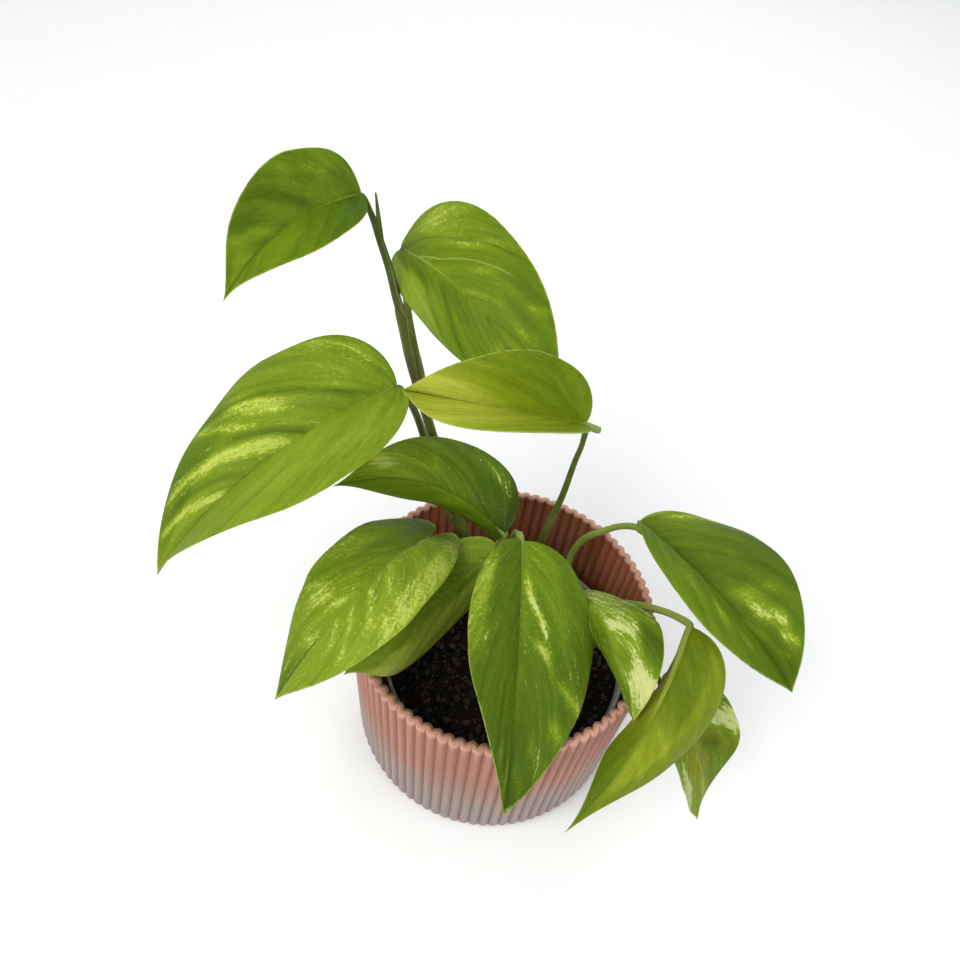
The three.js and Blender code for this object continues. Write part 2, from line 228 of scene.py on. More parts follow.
# floor and light: a pale floor, one large soft light from the front left, two weaker ones

studio = {
    "floorRadius": 4.0, "floorSides": 96,
    "skyColour": (0.93, 0.96, 1.0, 1), "skyStrength": 0.56,
    "lights": {
        "keyLight": {"place": (-0.55, -0.55, 0.95), "size": 0.8, "watts": 9.0, "colour": (1.0, 0.985, 0.96)},
        "fillLight": {"place": (0.75, -0.35, 0.7), "size": 0.9, "watts": 3.2, "colour": (0.94, 0.97, 1.0)},
        "backLight": {"place": (0.1, 0.8, 0.9), "size": 0.8, "watts": 3.2, "colour": (1.0, 1.0, 1.0)},
    },
    "aim": (0, 0, 0.09),
}


def makeStudio():
    material, tree, shader = newMaterial("paleFloor", Roughness=0.85)
    speck = noiseAt(tree, placeOf(tree), 60, 4)
    colour = blendColour(tree, speck, rgb(249, 249, 248), rgb(254, 254, 253))
    finishMaterial(tree, shader, colour, None, speck, 0.0002, 0.3)
    form = bmesh.new()
    bmesh.ops.create_circle(form, cap_ends=True, radius=studio["floorRadius"], segments=studio["floorSides"])
    mesh = bpy.data.meshes.new("floor")
    form.to_mesh(mesh)
    form.free()
    mesh.materials.append(material)
    floor = bpy.data.objects.new("floor", mesh)
    scene.collection.objects.link(floor)

    world = bpy.data.worlds.new("softSky")
    world.use_nodes = True
    scene.world = world
    sky = world.node_tree.nodes["Background"]
    sky.inputs["Color"].default_value = studio["skyColour"]
    sky.inputs["Strength"].default_value = studio["skyStrength"]
    for name, values in studio["lights"].items():
        data = bpy.data.lights.new(name, "AREA")
        data.shape = "DISK"
        data.size = values["size"]
        data.energy = values["watts"]
        data.color = values["colour"]
        light = bpy.data.objects.new(name, data)
        light.location = values["place"]
        aim = Vector(studio["aim"]) - light.location
        light.rotation_mode = "QUATERNION"
        light.rotation_quaternion = aim.to_track_quat("-Z", "Y")
        scene.collection.objects.link(light)


makeStudio()
print("camera, floor and light are set")


# the ribbed pot

potForm = {
    "rimRadius": 60, "baseRadius": 57, "height": 85, "floor": 3, "cornerRadius": 6,
    "ribs": 84, "ribDepth": 1.3, "ribRound": 0.75, "wall": 3.5, "floorInset": 0.5,
    "pointsPerRib": 14, "edgeRound": 0.55, "cuspSoftness": 0.05, "wallSteps": 14, "ribRunOut": 12,
}
potColours = {
    "side": rgb(164, 105, 82), "lower": rgb(146, 134, 129), "rim": rgb(214, 160, 138),
    "inside": rgb(178, 108, 72), "scuff": rgb(200, 148, 130), "valley": rgb(104, 66, 54),
    "grain": (0.62, 0.56, 0.55, 1),
}
potBands = {        # heights in metres, from where a colour starts to where it is full
    "side": (0.018, 0.062), "rim": (0.0812, 0.0845), "inside": (0.0846, 0.0835), "waviness": 0.012,
}
white = (1, 1, 1, 1)


def potMaterial():
    material, tree, shader = newMaterial("ribbedPotPlastic", Roughness=0.55, SpecularIORLevel=0.35)
    place = placeOf(tree)
    height = addNode(tree, "ShaderNodeSeparateXYZ", {"Vector": place}).outputs["Z"]
    inner, crest = readMap(tree, "skinMap")[1:]
    cloud = noiseAt(tree, place, 45, 5, 0.6, 0.4)
    grain = noiseAt(tree, place, 2600, 2, 0.6)
    drift = calc(tree, "MULTIPLY", calc(tree, "SUBTRACT", cloud, 0.5), potBands["waviness"])
    wavy = calc(tree, "ADD", height, drift)
    colour = blendColour(tree, stepUp(tree, wavy, *potBands["side"]), potColours["lower"], potColours["side"])
    # painted highlight: a lighter band along the rounded rim, where the light catches it
    colour = blendColour(tree, stepUp(tree, height, *potBands["rim"], 0.85), colour, potColours["rim"])
    # painted bounce light: the inside wall gets a warmer, more saturated tone than the outside, as light
    # thrown between the walls gives it
    insideBounceShare = calc(tree, "MULTIPLY", inner, stepUp(tree, height, *potBands["inside"]))
    colour = blendColour(tree, insideBounceShare, colour, potColours["inside"])
    # painted shade: the rib valleys are darkened where shade falls between the ribs
    colour = blendColour(tree, stepUp(tree, crest, 0.4, 0.02, 0.5), colour, potColours["valley"])
    # lighter patches on the rib crests, in cloudy places
    scuff = calc(tree, "MULTIPLY", stepUp(tree, cloud, 0.35, 0.65), stepUp(tree, crest, 0.7, 1.0, 0.4))
    colour = blendColour(tree, scuff, colour, potColours["scuff"])
    speck = blendColour(tree, calc(tree, "MULTIPLY", grain, 0.12), white, potColours["grain"])
    colour = blendColour(tree, 1.0, colour, speck, "MULTIPLY")
    finishMaterial(tree, shader, colour, summed(tree, 0.44, (cloud, 0.2)), grain, 0.00006, 0.5)
    return material


def potShape():
    form = potForm
    sides = form["ribs"] * form["pointsPerRib"]
    angle = np.linspace(0, 2 * np.pi, sides, endpoint=False)
    soft = form["cuspSoftness"]

    def crestOf(wave):        # 1 on a crest, 0 in a valley, with the sharp cusp eased
        eased = (np.sqrt(wave ** 2 + soft ** 2) - soft) / (np.sqrt(1 + soft ** 2) - soft)
        return eased ** form["ribRound"]
    outerCrest = crestOf(np.cos(form["ribs"] * angle / 2))
    innerCrest = crestOf(np.sin(form["ribs"] * angle / 2))

    def outerRadius(z):
        return form["baseRadius"] + (form["rimRadius"] - form["baseRadius"]) * z / form["height"]

    def innerRadius(z):
        low = outerRadius(form["floor"]) - form["wall"] - form["floorInset"]
        high = form["rimRadius"] - form["wall"]
        return low + (high - low) * (z - form["floor"]) / (form["height"] - form["floor"])
    rings, maps = [], []

    def addRing(z, outer, shrink=0.0, depth=1.0):
        if outer:
            radius = outerRadius(z) - shrink - form["ribDepth"] * depth * (1 - outerCrest)
            crest = outerCrest
        else:
            radius = innerRadius(z) + shrink + form["ribDepth"] * depth * (1 - innerCrest)
            crest = innerCrest
        rings.append(np.stack([radius * np.cos(angle), radius * np.sin(angle), np.full(sides, z)], 1))
        maps.append(np.stack([angle, np.full(sides, 0.0 if outer else 1.0), crest], 1))

    def addRimRing(share, outer):        # the rim's two soft edges
        drop = edge * (1 - math.sin(share * math.pi / 2))
        pull = edge * (1 - math.cos(share * math.pi / 2))
        addRing(top - drop, outer, pull if outer else -pull)
    foot = form["cornerRadius"]
    for share in (0, 0.25, 0.5, 0.75, 1):        # the rounded foot, where the ribs run out
        z = foot * (1 - math.cos(share * math.pi / 2))
        addRing(z, True, foot * (1 - math.sin(share * math.pi / 2)), share)
    top, edge = form["height"], form["edgeRound"]
    for share in np.linspace(0, 1, form["wallSteps"])[1:]:
        addRing(foot + (top - edge - foot) * share, True)
    for share in (0.33, 0.67, 1):
        addRimRing(share, True)
    for share in (1, 0.67, 0.33, 0):
        addRimRing(share, False)
    for share in np.linspace(1, 0, form["wallSteps"])[1:]:
        z = form["floor"] + (top - edge - form["floor"]) * share
        addRing(z, False, 0, float(smoothstep(0, form["ribRunOut"], z - form["floor"])))
    return ringShape(rings, maps)


makePiece("outer_pot_skin", potShape(), [potMaterial()], ["outer_pot"])
print("ribbed pot done")


# the thin inner pot

innerPot = {
    "centre": (3, -4), "rimRadius": 49, "baseRadius": 40, "rimHeight": 60, "wall": 1,
    "lipWidth": 1.6, "lipDepth": 3, "edge": 0.6, "wallSteps": 10, "sides": 120,
}
innerPotColours = {"low": rgb(150, 156, 150), "high": rgb(196, 199, 194), "dirt": rgb(96, 92, 84)}


def innerPotRadius(z):
    rise = (z - potForm["floor"]) / (innerPot["rimHeight"] - potForm["floor"])
    return innerPot["baseRadius"] + (innerPot["rimRadius"] - innerPot["baseRadius"]) * rise


def innerPotMaterial():
    material, tree, shader = newMaterial("thinGreyPlastic", Roughness=0.32, TransmissionWeight=0.25, IOR=1.5)
    place = placeOf(tree)
    cloud = noiseAt(tree, place, 30, 4)
    fine = noiseAt(tree, place, 900, 3)
    colour = blendColour(tree, cloud, innerPotColours["low"], innerPotColours["high"])
    colour = blendColour(tree, stepUp(tree, fine, 0.62, 0.75, 0.5), colour, innerPotColours["dirt"])
    finishMaterial(tree, shader, colour, summed(tree, 0.22, (fine, 0.2)), fine, 0.00005, 0.4)
    return material


def innerPotShape():
    floor, wall, lip = potForm["floor"], innerPot["wall"], innerPot["lipWidth"] - innerPot["wall"]
    top, lipBottom = innerPot["rimHeight"], innerPot["rimHeight"] - innerPot["lipDepth"]
    edge, steps = innerPot["edge"], innerPot["wallSteps"]
    profile = [(innerPotRadius(floor) - edge, floor), (innerPotRadius(floor), floor + edge)]
    profile += [(innerPotRadius(z), z) for z in np.linspace(floor + 1, lipBottom - 0.1, steps)]
    profile += [(innerPotRadius(lipBottom) + lip, lipBottom + edge), (innerPotRadius(top) + lip, top - edge)]
    profile += [(innerPotRadius(top) + lip - 0.25, top - 0.15), (innerPotRadius(top) + lip - 0.7, top)]
    profile += [(innerPotRadius(top) - wall + 0.4, top), (innerPotRadius(top) - wall, top - 0.5)]
    profile += [(innerPotRadius(z) - wall, z) for z in np.linspace(lipBottom, floor + wall, steps)]
    angle = np.linspace(0, 2 * np.pi, innerPot["sides"], endpoint=False)
    centreX, centreY = innerPot["centre"]
    rings, maps = [], []
    for radius, z in profile:
        x, y = centreX + radius * np.cos(angle), centreY + radius * np.sin(angle)
        rings.append(np.stack([x, y, np.full_like(x, z)], 1))
        maps.append(np.stack([angle, np.full_like(x, z), np.zeros_like(x)], 1))
    return ringShape(rings, maps)


makePiece("inner_pot_skin", innerPotShape(), [innerPotMaterial()], ["grower_pot"])
print("inner pot done")


# potting soil: a lumpy bed with loose crumbs and bark flecks on it

soilForm = {
    "surface": 55, "mound": 2.5, "crumb": 0.9, "clearance": 0.3, "rings": 46, "sides": 150, "seed": 11,
    "lumps": 0.28, "sink": 0.25, "crumbs": 2200, "smallest": 0.35, "largest": 1.7, "barkShare": 0.05,
}
soilColours = {
    "dark": rgb(9, 8, 7), "light": rgb(28, 22, 18), "fleck": rgb(74, 64, 54),
    "darkBark": rgb(48, 38, 30), "lightBark": rgb(96, 84, 72),
}


def soilInside(z):
    return innerPotRadius(z) - innerPot["wall"] - soilForm["clearance"]


def soilTop(radius, angle):
    reach = radius / soilInside(soilForm["surface"])
    waves = np.sin(0.31 * radius + 3 * angle) + np.sin(0.53 * radius - 7 * angle + 1.3)
    mound = soilForm["mound"] * (1 - reach ** 2)
    return soilForm["surface"] + mound + soilForm["crumb"] * 0.5 * waves * reach


def soilMaterial():
    material, tree, shader = newMaterial("pottingSoil", Roughness=0.95, SpecularIORLevel=0.12)
    place = placeOf(tree)
    brownness = readMap(tree, "skinTone")[0]
    coarse = noiseAt(tree, place, 260, 6, 0.7)
    fine = noiseAt(tree, place, 1500, 4, 0.7)
    colour = blendColour(tree, stepUp(tree, coarse, 0.35, 0.7), soilColours["dark"], soilColours["light"])
    colour = blendColour(tree, stepUp(tree, fine, 0.66, 0.74, 0.7), colour, soilColours["fleck"])
    bark = blendColour(tree, fine, soilColours["darkBark"], soilColours["lightBark"])
    colour = blendColour(tree, brownness, colour, bark)
    height = summed(tree, coarse, (fine, 0.4))
    finishMaterial(tree, shader, colour, summed(tree, 0.98, (coarse, -0.35)), height, 0.0006, 0.9)
    return material


def soilShape():
    form = soilForm
    angle = np.linspace(0, 2 * np.pi, form["sides"], endpoint=False)
    bottom = potForm["floor"] + innerPot["wall"]
    levels = [(soilInside(bottom), bottom), (soilInside(form["surface"] - 3), form["surface"] - 3)]
    draws = np.random.default_rng(form["seed"])
    rings = []
    for radius, z in levels:
        rings.append(np.stack([radius * np.cos(angle), radius * np.sin(angle), np.full_like(angle, z)], 1))
    for i in range(form["rings"]):
        radius = soilInside(form["surface"]) * (1 - i / form["rings"])
        lumps = draws.normal(0, form["lumps"], form["sides"])
        z = soilTop(radius, angle) + lumps * (0 if i == 0 else 1) - form["sink"]
        rings.append(np.stack([radius * np.cos(angle), radius * np.sin(angle), z], 1))
    for ring in rings:
        ring[:, :2] += innerPot["centre"]
    maps = [np.zeros_like(ring) for ring in rings]
    return ringShape(rings, maps)


def crumbShape():
    form = soilForm
    draws = np.random.default_rng(form["seed"] + 1)
    ball = bmesh.new()
    bmesh.ops.create_icosphere(ball, subdivisions=1, radius=1)
    base = np.array([v.co for v in ball.verts])
    triangles = [tuple(v.index for v in f.verts) for f in ball.faces]
    ball.free()
    centreX, centreY = innerPot["centre"]
    shapes = []
    for i in range(form["crumbs"]):
        bark = draws.random() < form["barkShare"]
        size = form["smallest"] + (form["largest"] - form["smallest"]) * draws.random() ** 2.6
        stretch = draws.uniform(0.6, 1.3, 3)
        if bark:
            stretch *= (1.9, 0.7, 0.4)
        lump = base * draws.uniform(0.72, 1.22, (len(base), 1)) * size * stretch
        spin = Matrix.Rotation(draws.uniform(0, 2 * math.pi), 3, "Z")
        tilt = Matrix.Rotation(draws.uniform(-0.7, 0.7), 3, "X")
        lump = lump @ np.array(spin @ tilt).T
        reach = math.sqrt(draws.random()) * (soilInside(form["surface"]) - size - 0.4)
        angle = draws.uniform(0, 2 * math.pi)
        lift = float(soilTop(reach, angle)) + size * draws.uniform(-0.35, 0.25)
        centre = (centreX + reach * math.cos(angle), centreY + reach * math.sin(angle), lift)
        tone = np.tile((draws.random(), 0.0, 0.0), (len(base), 1))        # how brown the crumb is
        shapes.append({"points": lump + centre, "faces": triangles, "skin": [0] * len(triangles),
                       "map": np.zeros_like(lump), "tone": tone, "line": np.zeros_like(lump)})
    return joinShapes(shapes)


soilSkin = soilMaterial()
makePiece("soil_bed", soilShape(), [soilSkin], ["soil"])
makePiece("soil_crumbs", crumbShape(), [soilSkin], smooth=False)
print("soil done")


# stems and leaf stalks: round tubes along smooth lines

splineSteps = 40


def smoothLine(corners, count):        # evenly spaced points of a smooth curve through the corners
    p = np.array([2 * corners[0] - corners[1], *corners, 2 * corners[-1] - corners[-2]], float)
    dense = []
    for a, b, c, d in zip(p, p[1:], p[2:], p[3:]):
        t1 = np.linalg.norm(b - a) ** 0.5
        t2 = t1 + np.linalg.norm(c - b) ** 0.5
        t3 = t2 + np.linalg.norm(d - c) ** 0.5
        for t in np.linspace(t1, t2, splineSteps, endpoint=False):
            ab = (a * (t1 - t) + b * t) / t1
            bc = (b * (t2 - t) + c * (t - t1)) / (t2 - t1)
            cd = (c * (t3 - t) + d * (t - t2)) / (t3 - t2)
            abc = (ab * (t2 - t) + bc * t) / t2
            bcd = (bc * (t3 - t) + cd * (t - t1)) / (t3 - t1)
            dense.append((abc * (t2 - t) + bcd * (t - t1)) / (t2 - t1))
    dense = np.array([*dense, p[-2]])
    gone = np.concatenate([[0], np.cumsum(np.linalg.norm(np.diff(dense, axis=0), axis=1))])
    at = np.linspace(0, gone[-1], count)
    return np.stack([np.interp(at, gone, dense[:, k]) for k in range(3)], 1), gone[-1]


def tubeShape(corners, radiusAt, steps, sides, section, topNormal, skin=0, tone=(0.0, 0.0, 0.0)):
    middle, length = smoothLine(np.array(corners, float), steps)
    ahead = unit(np.gradient(middle, axis=0))
    normals = np.zeros_like(middle)        # carried down from the top without twisting
    normal = np.array(topNormal, float)
    for i in range(steps - 1, -1, -1):
        normal = normal - ahead[i] * (normal @ ahead[i])
        normal /= np.linalg.norm(normal)
        normals[i] = normal
    angle = np.linspace(0, 2 * np.pi, sides, endpoint=False)
    turned = (angle + np.pi) % (2 * np.pi) - np.pi
    rings, maps, tones = [], [], []

    def addRing(i, shift, shrink):
        t = i / (steps - 1)
        radius = radiusAt(t, t * length)
        shape = (radius * section(turned, t) * shrink)[:, None]
        second = np.cross(ahead[i], normals[i])
        ring = middle[i] + shape * (np.cos(angle)[:, None] * normals[i] + np.sin(angle)[:, None] * second)
        rings.append(ring + ahead[i] * radius * shift)
        maps.append(np.stack([turned, np.full(sides, t * length), np.full(sides, t)], 1))
        tones.append(np.tile(tone, (sides, 1)))
    for share in (0.85, 0.5):        # both ends are round
        addRing(0, -0.5 * math.sin(share * math.pi / 2), math.cos(share * math.pi / 2))
    for i in range(steps):
        addRing(i, 0, 1)
    for share in (0.5, 0.85):
        addRing(steps - 1, 0.5 * math.sin(share * math.pi / 2), math.cos(share * math.pi / 2))
    return ringShape(rings, maps, tones, skin)


def greenSkin(name, colours, roughness):        # stems and stalks: fine lengthwise lines
    material, tree, shader = newMaterial(name, Roughness=roughness, SpecularIORLevel=0.18,
                                         SubsurfaceWeight=0.06, SubsurfaceScale=0.001)
    angle, along = readMap(tree, "skinMap")[:2]
    brownness, sheathShare, paleness = readMap(tree, "skinTone")
    place = placeOf(tree)
    roundX = calc(tree, "MULTIPLY", calc(tree, "COSINE", angle), 3.0)
    roundY = calc(tree, "MULTIPLY", calc(tree, "SINE", angle), 3.0)
    lines = noiseAt(tree, joinXyz(tree, roundX, roundY, calc(tree, "MULTIPLY", along, 0.06)), 2.4, 5, 0.65)
    cloud = noiseAt(tree, place, 140, 4, 0.6)
    fine = noiseAt(tree, place, 1400, 3, 0.6)
    paler = summed(tree, -0.95, (paleness, 1.0), (lines, 1.2), (cloud, 0.7))
    colour = blendColour(tree, stepUp(tree, paler, -0.25, 1.0), colours["dark"], colours["pale"])
    browner = summed(tree, -0.4, (brownness, 1.0), (cloud, 0.8))
    colour = blendColour(tree, stepUp(tree, browner, 0.15, 0.85), colour, colours["brown"])
    colour = blendColour(tree, sheathShare, colour, colours["sheath"])
    dusk = blendColour(tree, calc(tree, "MULTIPLY", fine, 0.25), white, colours["dusk"])
    colour = blendColour(tree, 1.0, colour, dusk, "MULTIPLY")
    rough = summed(tree, roughness - 0.1, (cloud, 0.25))
    finishMaterial(tree, shader, colour, rough, summed(tree, lines, (fine, 0.3)), 0.00025, 0.6)
    return material


# joints: shares of the length where a stem swells, with the scar of a fallen sheath.
# stain: a browner stretch, its place, spread and strength.

stemLook = {
    "steps": 90, "sides": 28, "ringWidth": 0.05, "swelling": 0.5, "scarHeight": 0.28, "scarWidth": 0.7,
    "nodeWidth": 0.02, "nodeBrown": 0.5, "footBrown": 0.5, "footHeights": (64, 52),
}
stemColours = {
    "dark": rgb(64, 73, 20), "pale": rgb(116, 124, 44), "brown": rgb(104, 82, 40),
    "sheath": rgb(150, 160, 96), "dusk": (0.55, 0.6, 0.5, 1),
}
stems = {
    "stem_back": {
        "line": [(-13, 25, 36), (-15, 28, 56), (-20, 32, 85), (-25, 37, 96), (-38, 50, 127), (-49, 60, 155),
                 (-52, 61, 171), (-53, 62, 176)],
        "foot": 2.6, "top": 1.5, "joints": (0.33, 0.985), "pale": 0.3, "stain": (0.8, 0.07, 0.6)},
    "stem_middle": {
        "line": [(4, 13, 36), (3, 15, 56), (2, 17, 75), (0, 18, 98)],
        "foot": 2.6, "top": 2.1, "joints": (0.45, 0.75), "pale": 0.5},
    "stem_right": {
        "line": [(24, 6, 36), (25, 6, 56), (29, 6, 68), (34, 4, 80)],
        "foot": 2.4, "top": 2.0, "joints": (0.7, 0.95), "pale": 0.5},
    "stem_left": {
        "line": [(-33, 8, 36), (-34, 9, 56), (-37, 12, 66), (-40, 15, 78)],
        "foot": 2.2, "top": 1.9, "joints": (0.6,), "pale": 0.2},
}


def makeStem(name, stem, material):
    look = stemLook
    length = smoothLine(np.array(stem["line"], float), 9)[1]

    def radiusAt(t, along):
        radius = stem["foot"] + (stem["top"] - stem["foot"]) * t
        for joint in stem["joints"]:
            radius += look["swelling"] * math.exp(-(((t - joint) / look["ringWidth"]) ** 2))
            scar = (along - joint * length) / look["scarWidth"]        # a ring, and a dip above it
            radius += look["scarHeight"] * (math.exp(-scar ** 2) - 0.6 * math.exp(-(scar - 1.8) ** 2))
        return radius

    def section(angle, t):
        return 1 + 0.025 * np.cos(5 * angle + 3 * t) + 0.012 * np.cos(11 * angle)
    shape = tubeShape(stem["line"], radiusAt, look["steps"], look["sides"], section, (0.3, 0.2, 1))
    t, z = shape["map"][:, 2], shape["points"][:, 2]
    nodes = sum(np.exp(-(((t - joint) / look["nodeWidth"]) ** 2)) for joint in stem["joints"])
    place, spread, amount = stem.get("stain", (0, 1, 0))
    brown = np.clip(nodes, 0, 1) * look["nodeBrown"] + amount * np.exp(-(((t - place) / spread) ** 2))
    shape["tone"][:, 0] = brown + look["footBrown"] * smoothstep(*look["footHeights"], z)
    shape["tone"][:, 2] = stem["pale"]
    makePiece(name + "_skin", shape, [material], [name])


stemSkin = greenSkin("stemSkin", stemColours, 0.5)
for stemName, stem in stems.items():
    makeStem(stemName, stem, stemSkin)
print("stems done")
